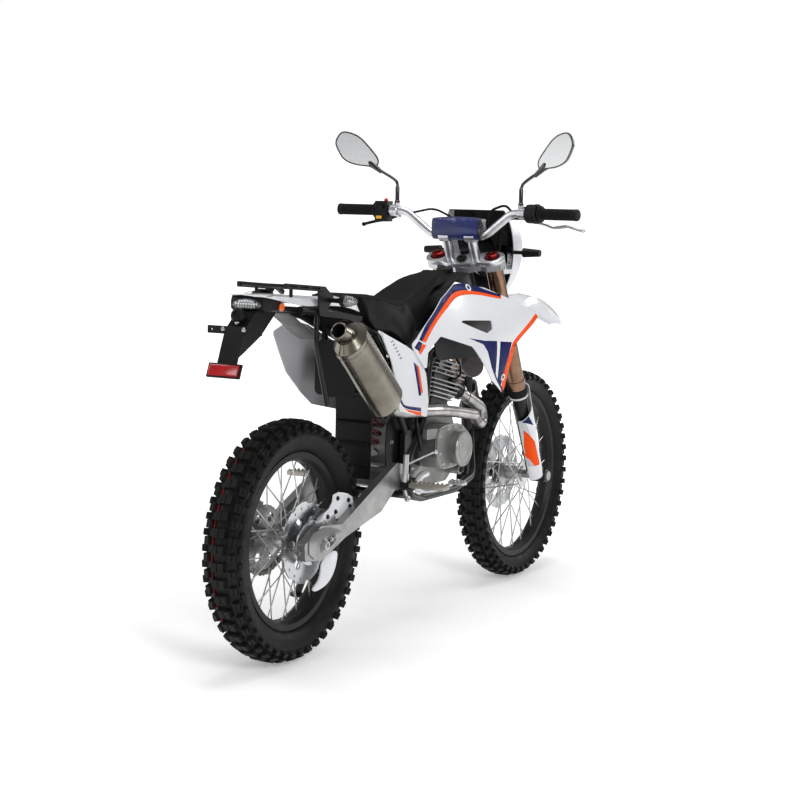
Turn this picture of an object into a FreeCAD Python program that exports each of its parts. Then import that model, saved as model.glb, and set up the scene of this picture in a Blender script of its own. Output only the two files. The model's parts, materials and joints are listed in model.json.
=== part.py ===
import FreeCAD, Part
import math
import os
import Sketcher
from FreeCAD import Placement, Rotation, Vector

# Dual sport motorcycle, modelled upright in millimetres: X forward, Y to the rider's left, Z up,
# with the ground below the rear axle at the start. The last section leans it on its side stand.

doc = FreeCAD.newDocument("dual_sport_motorcycle")
sheet = doc.addObject("Spreadsheet::Sheet", "sizes")

SIZES = {
    # Wheels and tyres
    "wheel_base": 1440, "wheel_clearance": 0.3,
    "rear_tyre_radius": 331.5, "rear_tyre_width": 118, "rear_rim_radius": 242, "rear_rim_width": 62,
    "front_tyre_radius": 347.5, "front_tyre_width": 88, "front_rim_radius": 278.5,
    "front_rim_width": 48, "rim_depth": 24, "rim_wall": 4, "lug_height": 13, "lug_steps": 48,
    "hub_radius": 27, "hub_flange_radius": 44, "hub_flange": 5, "rear_hub_right": 63,
    "rear_hub_left": 76, "front_hub_right": 42, "front_hub_left": 54, "flange_side": 32,
    "spoke_count": 36, "spoke_radius": 2.0, "axle_radius": 10,
    "rear_disc_radius": 112, "front_disc_radius": 125, "disc_thickness": 4, "disc_band": 30,
    "disc_hole_radius": 4, "rear_disc_side": 58, "front_disc_side": 50,
    "chain_side": 71, "chain_plate": 2.2, "chain_gap": 6.6, "rear_sprocket_radius": 98,
    "front_sprocket_radius": 32, "sprocket_thickness": 5, "chain_height": 15,
    # Steering and fork
    "rake": 26.5, "steering_offset": 65.8, "fork_offset": 24, "fork_half_width": 95,
    "fork_tube_radius": 27, "fork_leg_radius": 22, "leg_foot": 27, "fork_tube_low": 335, "fork_tube_high": 806,
    "lower_clamp_low": 556, "lower_clamp_height": 38, "upper_clamp_low": 774,
    "upper_clamp_height": 24, "head_radius": 30, "head_low": 598, "head_high": 770,
    "stem_radius": 16, "pin_clearance": 0.3, "seat_gap": 0.3,
    "bar_radius": 12.7, "bar_half_width": 410, "grip_radius": 17,
    # Frame and running gear
    "frame_tube": 13, "frame_half_width": 93, "down_tube": 18, "pivot_x": 505, "pivot_z": 470,
    "pivot_radius": 17, "subframe_tube": 11, "beam_side": 105,
    "beam_width": 25, "rack_tube": 6, "rack_half_width": 75, "header_radius": 17,
    "spring_radius": 34, "spring_wire": 5.5, "spring_turns": 8, "panel_wall": 3, "plate_hole": 3.25,
    # Engine
    "case_half_width": 62, "cylinder_half_width": 62,
    "fin_thickness": 4, "fin_pitch": 13,
    # Stand
    "lean": 7, "stand_radius": 12,
}

for row, (name, value) in enumerate(SIZES.items(), start=1):
    sheet.set("A%d" % row, name)
    sheet.set("B%d" % row, str(value))
    sheet.setAlias("B%d" % row, name)
doc.recompute()

PIECES = []


def size(name):
    """A driving dimension, read from the sheet."""
    return float(sheet.get(name))


def keep(label, shape, placement=None):
    """One sub-part of the motorcycle, as a feature with its own label and placement."""
    piece = doc.addObject("Part::Feature", label)
    piece.Label = label
    piece.Shape = shape
    piece.Placement = (placement or Placement()).multiply(shape.Placement)
    PIECES.append(piece)
    return piece


def both_sides(shape):
    """The shape and its mirror image across the middle plane, as two solids."""
    return Part.Compound([shape, shape.mirror(Vector(0, 0, 0), Vector(0, 1, 0))])


def mirrored(shape):
    return shape.mirror(Vector(0, 0, 0), Vector(0, 1, 0))


def fused(shapes):
    """One solid out of pieces that touch or cross."""
    whole = shapes[0].multiFuse(shapes[1:]) if len(shapes) > 1 else shapes[0]
    return whole.removeSplitter()


def largest(shape):
    return max(shape.Solids, key=lambda solid: solid.Volume)


# Paths, tubes, panels and lofts

def path_wire(points, bend, closed=False):
    """Straight runs joined by tangent arcs."""
    corners = list(points)
    loop = corners + corners[:2] if closed else corners
    stops, arcs = [], []
    for before, corner, after in zip(loop, loop[1:], loop[2:]):
        back, ahead = before - corner, after - corner
        room = 0.47 * min(back.Length, ahead.Length)
        back.normalize()
        ahead.normalize()
        half = back.getAngle(ahead) / 2
        reach = min(bend / math.tan(half), room)
        inward = (back + ahead).normalize()
        radius = reach * math.tan(half)
        middle = corner + inward * (radius / math.sin(half) - radius)
        stops.append((corner + back * reach, corner + ahead * reach))
        arcs.append(Part.Arc(stops[-1][0], middle, stops[-1][1]).toShape())
    edges = []
    if closed:
        for index, arc in enumerate(arcs):
            start = stops[index - 1][1]
            edges.append(Part.makeLine(start, stops[index][0]))
            edges.append(arc)
        return Part.Wire(edges)
    start = corners[0]
    for stop, arc in zip(stops, arcs):
        edges.append(Part.makeLine(start, stop[0]))
        edges.append(arc)
        start = stop[1]
    edges.append(Part.makeLine(start, corners[-1]))
    return Part.Wire(edges)


def bent_tube(points, radius, bend=40):
    """A round bar or tube along straight runs and arcs."""
    if len(points) == 2:
        return rod(points[0], points[1], radius)
    path = path_wire(points, bend)
    ring = Part.Wire(Part.makeCircle(radius, points[0], points[1] - points[0]))
    return path.makePipeShell([ring], True, False)


def rod(start, end, radius, end_radius=None):
    """A cylinder or cone between two points."""
    run = end - start
    if end_radius is None:
        return Part.makeCylinder(radius, run.Length, start, run)
    return Part.makeCone(radius, end_radius, run.Length, start, run)


def side_outline(corners, rounding, y=0.0):
    """A closed outline in a vertical plane along the bike, its corners rounded."""
    return path_wire([Vector(x, y, z) for x, z in corners], rounding, closed=True)


def slab(corners, rounding, y_low, y_high):
    """A plate with a side outline, from one side plane to another."""
    face = Part.Face(side_outline(corners, rounding, y_low))
    return face.extrude(Vector(0, y_high - y_low, 0))


def skin_panel(corners, rounding, columns, wall):
    """A curved panel: a smooth sheet through points, cut to a side outline. Right side, y < 0."""
    sheet_surface = Part.BSplineSurface()
    sheet_surface.interpolate([[Vector(*point) for point in column] for column in columns])
    thick = sheet_surface.toShape().extrude(Vector(0, wall, 0))
    return largest(thick.common(slab(corners, rounding, -400, -10)))


def cross_section(x, half_low, half_high, low, high, rounding):
    """A closed section across the bike, with rounded corners, wider or narrower at the top."""
    corners = [Vector(x, -half_low, low), Vector(x, half_low, low),
               Vector(x, half_high, high), Vector(x, -half_high, high)]
    return path_wire(corners, rounding, closed=True)


def loft(wires, ruled=False):
    return Part.makeLoft(wires, True, ruled)


def box(low, high):
    """A box between two corners."""
    return Part.makeBox(high[0] - low[0], high[1] - low[1], high[2] - low[2], Vector(*low))


def strip(points, wall, half_width, bend=40):
    """A plate of even thickness, bent along a side path and centred across the bike."""
    corners = [Vector(x, -half_width, z) for x, z in points]
    offset = []
    for index, corner in enumerate(corners):
        ahead = corners[min(index + 1, len(corners) - 1)] - corners[max(index, 1) - 1]
        normal = Vector(-ahead.z, 0, ahead.x).normalize()
        offset.append(corner + normal * wall)
    near, far = path_wire(corners, bend), path_wire(offset, bend)
    ends = [Part.makeLine(corners[0], offset[0]), Part.makeLine(corners[-1], offset[-1])]
    outline = Part.Wire(Part.__sortEdges__(near.Edges + far.Edges + ends))
    return Part.Face(outline).extrude(Vector(0, 2 * half_width, 0))


# Sketches bound to the sheet

def origin_plane(body, role):
    return [feature for feature in body.Origin.OriginFeatures if feature.Role == role][0]


def new_body(label):
    body = doc.addObject("PartDesign::Body", label)
    body.Label = label
    PIECES.append(body)
    return body


def bound_outline(body, label, role, corners):
    """A closed outline whose corners follow expressions on the sheet."""
    sketch = body.newObject("Sketcher::SketchObject", label)
    sketch.AttachmentSupport = [(origin_plane(body, role), "")]
    sketch.MapMode = "FlatFace"
    count = len(corners)
    start = [Vector(90 + 20 * math.cos(2 * math.pi * index / count),
                    20 * math.sin(2 * math.pi * index / count), 0) for index in range(count)]
    for index in range(count):
        sketch.addGeometry(Part.LineSegment(start[index], start[(index + 1) % count]), False)
    for index in range(count):
        follower = (index + 1) % count
        sketch.addConstraint(Sketcher.Constraint("Coincident", index, 2, follower, 1))
    for index, (across, up) in enumerate(corners):
        for kind, expression, value in (("DistanceX", across, start[index].x),
                                        ("DistanceY", up, start[index].y)):
            number = sketch.addConstraint(Sketcher.Constraint(kind, -1, 1, index, 1, value))
            sketch.setExpression("Constraints[%d]" % number, expression)
    doc.recompute()
    return sketch


def bound_circle(body, label, role, radius, centre):
    """A circle whose radius and centre follow expressions on the sheet."""
    sketch = body.newObject("Sketcher::SketchObject", label)
    sketch.AttachmentSupport = [(origin_plane(body, role), "")]
    sketch.MapMode = "FlatFace"
    sketch.addGeometry(Part.Circle(Vector(60, 10, 0), Vector(0, 0, 1), 7), False)
    for constraint, expression in ((Sketcher.Constraint("Radius", 0, 7), radius),
                                   (Sketcher.Constraint("DistanceX", -1, 1, 0, 3, 60), centre[0]),
                                   (Sketcher.Constraint("DistanceY", -1, 1, 0, 3, 10), centre[1])):
        number = sketch.addConstraint(constraint)
        sketch.setExpression("Constraints[%d]" % number, expression)
    doc.recompute()
    return sketch


def turn(body, sketch, label):
    """Turns a sketched profile about the sketch's upright axis, which is the wheel's axle."""
    turned = body.newObject("PartDesign::Revolution", label)
    turned.Profile = sketch
    turned.ReferenceAxis = (sketch, ["V_Axis"])
    turned.Angle = 360
    doc.recompute()
    return turned


def bore(body, sketch, label):
    """Cuts a sketched outline right through, both ways."""
    cut = body.newObject("PartDesign::Pocket", label)
    cut.Profile = sketch
    cut.Type = 1
    cut.Midplane = True
    doc.recompute()
    return cut


def pattern(body, feature, label, axis_role, count):
    """Repeats a feature round an axis of its body."""
    ring = body.newObject("PartDesign::PolarPattern", label)
    ring.Originals = [feature]
    ring.Axis = (origin_plane(body, axis_role), [""])
    ring.Angle = 360
    ring.setExpression("Occurrences", count)
    body.Tip = ring
    doc.recompute()
    return ring


# Reference points

rear_axle = Vector(0, 0, size("rear_tyre_radius"))
front_axle = Vector(size("wheel_base"), 0, size("front_tyre_radius"))
pivot = Vector(size("pivot_x"), 0, size("pivot_z"))

# The steering frame stands on the steering axis at axle height, its own Z along the head tube.
steering_foot = Vector(front_axle.x - size("steering_offset"), 0, front_axle.z)
STEERING = Placement(steering_foot, Rotation(Vector(0, 1, 0), -size("rake")))


def head(height):
    """A point on the steering axis."""
    return STEERING.multVec(Vector(0, 0, height))


def steered(x, y, z):
    return STEERING.multVec(Vector(x, y, z))


# Wheels

def tyre(radius, width, rim_radius, rim_width):
    """A knobbly tyre of flat faces: blocks stand up in turn in the middle and at the shoulders."""
    steps = int(size("lug_steps"))
    lug = size("lug_height")
    seat = rim_radius - size("rim_depth") / 2 + size("wheel_clearance")
    inner_half = rim_width / 2 - size("rim_wall") - size("wheel_clearance")
    half = width / 2
    body_radius = radius - lug
    rows = [(half * 0.98, half * 0.66), (half * 0.58, half * 0.30), (half * 0.22, -half * 0.22)]
    side = [(inner_half, seat), (inner_half, rim_radius + 3), (half * 0.86, rim_radius + 24)]

    def crown(y):
        return body_radius - (1 - math.sqrt(1 - (0.80 * y / half) ** 2)) * half * 0.9

    def blocks():
        """Every block as its two edges across the tyre and the kind of step that raises it."""
        rights = [(outer, inner, row % 2) for row, (outer, inner) in enumerate(rows)]
        return rights + [(-inner, -outer, kind) for outer, inner, kind in reversed(rights[:-1])]

    def profile(step_kind):
        points = list(side)
        for outer, inner, kind in blocks():
            points.append((outer, crown(outer)))
            if kind == step_kind:
                points += [(outer, crown(outer) + lug), (inner, crown(inner) + lug)]
            points.append((inner, crown(inner)))
        return points + [(-y, r) for y, r in reversed(side)]

    def place(y, r, step):
        """A point of the profile on one of the planes through the axle between two steps."""
        angle = 2 * math.pi * step / steps
        reach = r / math.cos(math.pi / steps) if r < rim_radius + 20 else r
        return Vector(reach * math.cos(angle), y, reach * math.sin(angle))

    def flat(corners):
        return Part.Face(Part.makePolygon(corners + corners[:1]))

    faces = []
    for step in range(steps):
        points = profile(step % 2)
        for (y0, r0), (y1, r1) in zip(points, points[1:] + points[:1]):
            faces.append(flat([place(y0, r0, step), place(y0, r0, step + 1),
                               place(y1, r1, step + 1), place(y1, r1, step)]))
        for outer, inner, kind in blocks():
            faces.append(flat([place(outer, crown(outer), step), place(outer, crown(outer) + lug, step),
                               place(inner, crown(inner) + lug, step), place(inner, crown(inner), step)]))
    shell = Part.Compound(faces)
    shell.sewShape()
    solid = Part.makeSolid(shell.Shells[0])
    if solid.Volume < 0:
        solid.reverse()
    return solid


def rim(label, radius, width):
    """A drop-centre rim, turned about the axle."""
    body = new_body(label)
    half = "sizes.%s / 2" % width
    edge = "sizes.%s" % radius
    seat = edge + " - sizes.rim_depth / 2"
    inside = edge + " - sizes.rim_depth"
    profile = bound_outline(body, label + "_profile", "XY_Plane", [
        (edge, "-" + half), (edge, "-" + half + " + sizes.rim_wall"),
        (seat, "-" + half + " + sizes.rim_wall"), (seat, half + " - sizes.rim_wall"),
        (edge, half + " - sizes.rim_wall"), (edge, half),
        (seat + " - sizes.rim_wall", half), (inside, half + " / 2"),
        (inside, "-" + half + " / 2"), (seat + " - sizes.rim_wall", "-" + half)])
    turn(body, profile, label + "_turned")
    return body


def hub_with_spokes(right, left, rim_radius):
    """A hub shell with two spoke flanges, and spokes laced across from flange to rim."""
    radius, flange, thick = size("hub_radius"), size("hub_flange_radius"), size("hub_flange")
    seat = size("flange_side")
    bore_radius = size("axle_radius") + size("pin_clearance")
    profile = [(bore_radius, -right), (radius, -right), (radius, -seat - thick),
               (flange, -seat - thick), (flange, -seat), (radius - 4, -seat + 8),
               (radius - 4, seat - 8), (flange, seat), (flange, seat + thick),
               (radius, seat + thick), (radius, left), (bore_radius, left)]
    corners = [Vector(r, y, 0) for r, y in profile]
    shell = Part.Face(Part.makePolygon(corners + corners[:1])).revolve(
        Vector(0, 0, 0), Vector(0, 1, 0), 360)
    count = int(size("spoke_count"))
    reach = rim_radius - size("rim_depth") - 0.6
    spokes = []
    for index in range(count):
        side = 1 if index % 2 else -1
        lead = 1 if (index // 2) % 2 else -1
        rim_angle = 2 * math.pi * (index + 0.5) / count
        hub_angle = rim_angle + lead * math.radians(52)
        start = Vector((flange - 5) * math.cos(hub_angle), side * (seat + thick / 2),
                       (flange - 5) * math.sin(hub_angle))
        end = Vector(reach * math.cos(rim_angle), side * 5, reach * math.sin(rim_angle))
        spokes.append(hexagon_rod(start, end, size("spoke_radius")))
    return shell, spokes


def hexagon_rod(start, end, radius):
    """A thin spoke with six flats."""
    run = end - start
    ring = Part.makeCircle(radius, start, run).discretize(7)
    return Part.Face(Part.makePolygon(ring)).extrude(run)


def wheel_shapes():
    rear_tyre = tyre(size("rear_tyre_radius"), size("rear_tyre_width"), size("rear_rim_radius"),
                     size("rear_rim_width"))
    front_tyre = tyre(size("front_tyre_radius"), size("front_tyre_width"),
                      size("front_rim_radius"), size("front_rim_width"))
    keep("rear_tyre", rear_tyre, Placement(rear_axle, Rotation()))
    keep("front_tyre", front_tyre, Placement(front_axle, Rotation()))
    for label, radius, width, axle in (("rear_rim", "rear_rim_radius", "rear_rim_width", rear_axle),
                                       ("front_rim", "front_rim_radius", "front_rim_width",
                                        front_axle)):
        rim(label, radius, width).Placement = Placement(axle, Rotation())
    for wheel, axle in (("rear", rear_axle), ("front", front_axle)):
        shell, spokes = hub_with_spokes(size(wheel + "_hub_right"), size(wheel + "_hub_left"),
                                        size(wheel + "_rim_radius"))
        keep(wheel + "_hub", fused([shell] + spokes), Placement(axle, Rotation()))


def brake_disc(label, radius, side, axle):
    """A brake disc on six carrier arms, drilled round its band."""
    body = new_body(label)
    carrier_inner = "sizes.hub_radius + sizes.seat_gap"
    low = "%s - sizes.disc_thickness / 2" % side
    high = "%s + sizes.disc_thickness / 2" % side
    profile = bound_outline(body, label + "_profile", "XY_Plane", [
        (carrier_inner, low), ("sizes." + radius, low), ("sizes." + radius, high),
        (carrier_inner, high)])
    turn(body, profile, label + "_turned")
    hole = bound_circle(body, label + "_hole", "XZ_Plane", "sizes.disc_hole_radius",
                        ("sizes.%s - sizes.disc_band / 2" % radius, "0"))
    pattern(body, bore(body, hole, label + "_drilled"), label + "_holes", "Y_Axis", "18")
    wave = bound_circle(body, label + "_wave", "XZ_Plane", "26", ("sizes.%s + 21" % radius, "0"))
    pattern(body, bore(body, wave, label + "_waved"), label + "_waves", "Y_Axis", "9")
    window = bound_circle(body, label + "_window", "XZ_Plane",
                          "(sizes.%s - sizes.disc_band - sizes.hub_flange_radius) / 2.6" % radius,
                          ("(sizes.%s - sizes.disc_band + sizes.hub_flange_radius) / 2" % radius,
                           "0"))
    pattern(body, bore(body, window, label + "_opened"), label + "_windows", "Y_Axis", "6")
    body.Placement = Placement(axle, Rotation())
    return body


def sprocket(label, radius, side, axle):
    """A toothed sprocket with round windows."""
    body = new_body(label)
    low = "%s - sizes.sprocket_thickness / 2" % side
    high = "%s + sizes.sprocket_thickness / 2" % side
    tip = "sizes.%s - sizes.chain_height / 2" % radius
    inside = "sizes.hub_radius + sizes.seat_gap"
    profile = bound_outline(body, label + "_profile", "XY_Plane", [
        (inside, low), (tip, low), (tip, high), (inside, high)])
    turn(body, profile, label + "_turned")
    notch = bound_circle(body, label + "_notch", "XZ_Plane", "4", (tip + " + 1", "0"))
    pattern(body, bore(body, notch, label + "_notched"), label + "_teeth", "Y_Axis", "40")
    window = bound_circle(body, label + "_window", "XZ_Plane", "14", (tip + " - 30", "0"))
    pattern(body, bore(body, window, label + "_opened"), label + "_windows", "Y_Axis", "6")
    body.Placement = Placement(axle, Rotation())
    return body


# Steering and front end

def clamp(label, low, height, reach, stem_length=None):
    """A fork clamp: a plate round both fork tubes and the steering stem, padded upward."""
    body = new_body(label)
    wide, tube = "sizes.fork_half_width", "sizes.fork_offset"
    right = [("-sizes.head_radius + 4", "-sizes.head_radius / 2"),
             (tube + " - 24", "-" + wide + " + 33"),
             (tube + " - %d" % reach, "-" + wide + " + 8"),
             (tube + " - %d" % (reach // 2), "-" + wide + " - %d" % reach),
             (tube + " + %d" % (reach // 2), "-" + wide + " - %d" % reach),
             (tube + " + %d" % reach, "-" + wide + " + 8"),
             (tube + " + 10", "-sizes.head_radius / 2")]
    left = [(across, "-(%s)" % up) for across, up in reversed(right)]
    outline = bound_outline(body, label + "_outline", "XY_Plane", right + left)
    pad = body.newObject("PartDesign::Pad", label + "_plate")
    pad.Profile = outline
    pad.setExpression("Length", "sizes." + height)
    doc.recompute()
    if stem_length:
        ring = bound_circle(body, label + "_stem_ring", "XY_Plane", "sizes.stem_radius", ("0", "0"))
        stem = body.newObject("PartDesign::Pad", label + "_stem")
        stem.Profile = ring
        stem.setExpression("Length", stem_length)
        doc.recompute()
    else:
        ring = bound_circle(body, label + "_stem_hole", "XY_Plane",
                            "sizes.stem_radius + sizes.seat_gap", ("0", "0"))
        bore(body, ring, label + "_stem_bore")
    for side, sign in (("right", "-"), ("left", "")):
        ring = bound_circle(body, "%s_%s_hole" % (label, side), "XY_Plane",
                            "sizes.fork_tube_radius + sizes.seat_gap", (tube, sign + wide))
        bore(body, ring, "%s_%s_bore" % (label, side))
    body.Placement = Placement(steered(0, 0, size(low)), STEERING.Rotation)
    return body


def fork():
    """Gold upper tubes, lower legs with their axle castings, and the axle."""
    offset, wide = size("fork_offset"), size("fork_half_width")
    low, high = size("fork_tube_low"), size("fork_tube_high")
    tube = rod(Vector(offset, wide, low), Vector(offset, wide, high), size("fork_tube_radius"))
    cap = rod(Vector(offset, wide, high), Vector(offset, wide, high + 9), size("fork_tube_radius") - 9)
    collar = rod(Vector(offset, wide, low), Vector(offset, wide, low + 30),
                 size("fork_tube_radius") + 2)
    leg_bore = rod(Vector(offset, wide, low - 5), Vector(offset, wide, low + 70),
                   size("fork_leg_radius") + size("seat_gap"))
    tube = fused([tube, cap, collar]).cut(leg_bore)
    keep("fork_tubes", both_sides(tube), STEERING)

    axle = STEERING.inverse().multVec(front_axle)
    leg = rod(Vector(offset, wide, 20), Vector(offset, wide, low + 60), size("fork_leg_radius"))
    casting = rod(Vector(offset, wide, 90), Vector(axle.x - 12, wide, axle.z + 8),
                  size("fork_leg_radius") + 2, size("fork_leg_radius") + 4)
    foot = rod(Vector(axle.x, wide - size("leg_foot"), axle.z),
               Vector(axle.x, wide + size("leg_foot"), axle.z), size("fork_leg_radius"))
    hole = rod(Vector(axle.x, 0, axle.z), Vector(axle.x, wide + 90, axle.z),
               size("axle_radius") + size("seat_gap"))
    keep("fork_legs", both_sides(fused([leg, casting, foot]).cut(hole)), STEERING)

    guard_out = Part.makeCone(30, 40, low + 5, Vector(offset, wide, -8))
    guard_in = Part.makeCone(27, 37, low + 6, Vector(offset, wide, -8.5))
    open_side = box((-80, wide - 60, -40), (offset + 10, wide - 2, 500))
    open_back = slab([(-90, 520), (offset + 15, 520), (offset + 15, 264), (offset - 12, 244),
                      (offset - 34, 226), (offset - 34, -60), (-90, -60)], 3, wide - 60, wide + 90)
    guard = largest(guard_out.cut(guard_in).cut(open_side).cut(open_back))
    keep("fork_guards", both_sides(guard.cut(fused([casting, foot]))), STEERING)


def axle_with_spacers(label, axle, hub_low, hub_high, seat_half, end_half):
    """An axle through the hub, with a spacer sleeve on each side of it and a nut at each end."""
    radius, gap = size("axle_radius"), size("wheel_clearance")
    pieces = [rod(Vector(0, -end_half, 0), Vector(0, end_half, 0), radius)]
    pieces.append(rod(Vector(0, -seat_half + gap, 0), Vector(0, hub_low - gap, 0), radius + 4))
    pieces.append(rod(Vector(0, hub_high + gap, 0), Vector(0, seat_half - gap, 0), radius + 4))
    nut = radius + 6
    for end in (-end_half, end_half):
        pieces.append(rod(Vector(0, end, 0), Vector(0, end + math.copysign(8, end), 0), nut))
    keep(label, fused(pieces), Placement(axle, Rotation()))


def bar_point(along):
    """A point on the straight outer part of the handlebar, measured from its outer bend."""
    return BAR_BEND + BAR_RUN * along


BAR_BEND = Vector(978, 185, 1222)
BAR_END = Vector(955, size("bar_half_width"), 1222)
BAR_RUN = (BAR_END - BAR_BEND).normalize()
BAR_MIDDLE = Vector(985, 0, 1150)
LAMP_BACK = 1215


def bar_tube(radius):
    """The bar's bent tube, from end to end."""
    rise = Vector(BAR_MIDDLE.x, 92, BAR_MIDDLE.z)
    corners = [BAR_END, BAR_BEND, rise]
    corners += [Vector(corner.x, -corner.y, corner.z) for corner in reversed(corners)]
    return bent_tube(corners, radius, 60)


def handlebar():
    keep("handlebar", bar_tube(size("bar_radius")))

    gap = size("seat_gap")
    grip = rod(bar_point(100), bar_point(225), size("grip_radius"))
    flange = rod(bar_point(100), bar_point(106), size("grip_radius") + 8)
    core = rod(bar_point(80), bar_point(224), size("bar_radius") + gap)
    end_cap = rod(bar_point(226), bar_point(232), size("grip_radius") + 1)
    keep("grips", both_sides(fused([grip, flange, end_cap, rod(bar_point(225), bar_point(226),
                                                              size("grip_radius"))]).cut(
        rod(bar_point(80), bar_point(226.3), size("bar_radius") + gap))))

    housing = rod(bar_point(60), bar_point(99), 22)
    perch = rod(bar_point(28), bar_point(54), 18)
    arm_root, arm_end = bar_point(41), bar_point(41) + Vector(36, 0, -16)
    arm = rod(arm_root, arm_end, 9)

    def lever(tip):
        bend = bar_point(82) + Vector(48, 0, -30)
        return [bent_tube([arm_end + Vector(0, -6, 2), bend, tip], 5, 60), Part.makeSphere(8, tip)]

    boss = rod(bar_point(41), bar_point(41) + Vector(0, 0, 26), 8)
    hollow = rod(bar_point(0), bar_point(120), size("bar_radius") + gap)
    control = [housing, rod(bar_point(50), bar_point(62), 16), perch, arm, boss]
    reservoir = rod(bar_point(30) + Vector(22, 0, 12), bar_point(30) + Vector(22, 0, 42), 16)
    left = fused(control + lever(bar_point(168) + Vector(52, 0, -47))).cut(hollow)
    right = fused(control + [reservoir] + lever(bar_point(222) + Vector(52, 0, -47))).cut(hollow)
    keep("hand_controls", Part.Compound([left, mirrored(right)]))
    foot = bar_point(41) + Vector(0, 0, 26 + gap)
    keep("mirrors", Part.Compound([mirror(foot, 92), mirrored(mirror(foot, 62))]))


def control_cables():
    """The clutch, throttle and front brake lines, from the hand controls to the back of the headlamp."""
    lamp = LAMP_BACK - size("seat_gap")
    arm = bar_point(41) + Vector(22, -9.6, -10)
    clutch = [arm, arm + Vector(0, -24, 0)] + points(
        (1060, 128, 1232), (1090, 60, 1196), (1128, 54, 1112), (lamp - 36, 54, 1066), (lamp, 54, 1066))
    arm = Vector(arm.x, -arm.y, arm.z)
    brake = [arm, arm + Vector(0, 24, 0)] + points(
        (1058, -124, 1248), (1084, -46, 1224), (1128, -54, 1130), (lamp - 36, -54, 1078), (lamp, -54, 1078))
    housing = bar_point(80)
    throttle = points((housing.x + 22.4, -housing.y, housing.z), (1032, -262, 1222), (1066, -200, 1204),
                      (1086, -112, 1206), (1120, -82, 1140), (1148, -62, 1066), (lamp - 30, -50, 1044), (lamp, -50, 1044))
    keep("control_cables", Part.Compound([bent_tube(clutch, 3.5, 60), bent_tube(throttle, 3.5, 60),
                                          bent_tube(brake, 4, 60)]))


def mirror(base, outward):
    """A mirror head on its bent stem, turned in toward the rider."""
    joint = base + Vector(12, outward, 118)
    stem = bent_tube([base, base + Vector(0, 0, 52), base + Vector(8, outward * 0.47, 86), joint], 5, 40)
    nut = rod(base, base + Vector(0, 0, 16), 9)
    corners = [(94, 102), (119, 66), (92, 13), (20, -6), (-22, -8), (-20, 22), (36, 84)]
    wire = path_wire([joint + Vector(0, y, z) for y, z in corners], 16, closed=True)
    plate = Part.Face(wire).extrude(Vector(16, 0, 0))
    plate.translate(Vector(-6, 0, 0))
    plate.rotate(joint, Vector(0, 0, 1), 19)
    return fused([stem, nut, plate])


def bar_pad():
    """A padded block over the bar clamps, hollowed for the bar and its risers."""
    block = slab([(957, 1133), (962, 1204), (1006, 1206), (1014, 1133)], 14, -88, 88)
    bevel = Part.Face(Part.makePolygon(points((900, 89, 1150), (900, 89, 1240), (900, 66, 1240),
                                              (900, 78, 1192), (900, 89, 1150))))
    bevel = bevel.extrude(Vector(200, 0, 0))
    block = block.cut(bevel).cut(mirrored(bevel))
    gap = size("seat_gap")
    bar = rod(Vector(BAR_MIDDLE.x, -100, BAR_MIDDLE.z), Vector(BAR_MIDDLE.x, 100, BAR_MIDDLE.z),
              size("bar_radius") + gap)
    bends = bar_tube(size("bar_radius") + 2 * gap)
    hollows = [bar, bends]
    for y in (-45, 45):
        hollows.append(box((940, y - 21, 1100), (1020, y + 21, BAR_MIDDLE.z + 26)))
    hollows.append(box((BAR_MIDDLE.x - 13, -100, 1100), (BAR_MIDDLE.x + 13, 100, BAR_MIDDLE.z)))
    keep("bar_pad", largest(block.cut(fused(hollows))))


def risers():
    """Two bar clamps on posts that stand on the upper fork clamp."""
    middle = STEERING.inverse().multVec(BAR_MIDDLE)
    top = size("upper_clamp_low") + size("upper_clamp_height")
    posts = []
    for y in (-45, 45):
        post = rod(Vector(middle.x, y, top), Vector(middle.x, y, middle.z), 15)
        ring = rod(Vector(middle.x, y - 17, middle.z), Vector(middle.x, y + 17, middle.z), 21)
        hole = rod(Vector(middle.x, y - 20, middle.z), Vector(middle.x, y + 20, middle.z),
                   size("bar_radius") + size("seat_gap"))
        posts.append(fused([post, ring]).cut(hole))
    keep("bar_risers", Part.Compound(posts), STEERING)


def nose_section(z, back, front, half):
    corners = [Vector(back, -half, z), Vector(front - 45, -half, z), Vector(front, -half * 0.45, z),
               Vector(front, half * 0.45, z), Vector(front - 45, half, z), Vector(back, half, z)]
    return path_wire(corners, 14, closed=True)


def headlight():
    """The nose fairing as an open shell, with the headlamp let into its front."""
    wall = size("panel_wall")
    levels = [(955, 1172, 1238, 58), (1010, 1165, 1262, 90), (1090, 1142, 1264, 114),
              (1160, 1118, 1236, 118), (1230, 1098, 1178, 98)]
    outer = loft([nose_section(*level) for level in levels])
    inner_levels = [(z, back - 30, front - wall, half - wall) for z, back, front, half in levels]
    inner_levels[0] = (954,) + inner_levels[0][1:]
    inner_levels[-1] = (1230 - wall,) + inner_levels[-1][1:]
    shell = largest(outer.cut(loft([nose_section(*level) for level in inner_levels])))
    lamp_wire = path_wire([Vector(LAMP_BACK, y, z) for y, z in
                           ((-62, 1092), (62, 1092), (54, 1020), (-54, 1020))], 22, closed=True)
    lamp = Part.Face(lamp_wire).extrude(Vector(56, 0, 0))
    shell = largest(shell.cut(lamp))
    keep("headlamp", lamp)
    reach = STEERING.multVec(Vector(size("fork_offset"), 0, 774))
    arms = []
    for y in (-97, 97):
        room = rod(steered(size("fork_offset"), math.copysign(size("fork_half_width"), y), 700),
                   steered(size("fork_offset"), math.copysign(size("fork_half_width"), y), 820),
                   size("fork_tube_radius") + size("seat_gap"))
        arms.append(box((reach.x + 10, y - 5, 1030), (1168, y + 5, 1044)).cut(room))
    keep("headlight_mask", largest(fused([shell] + [largest(arm) for arm in arms])))


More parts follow.
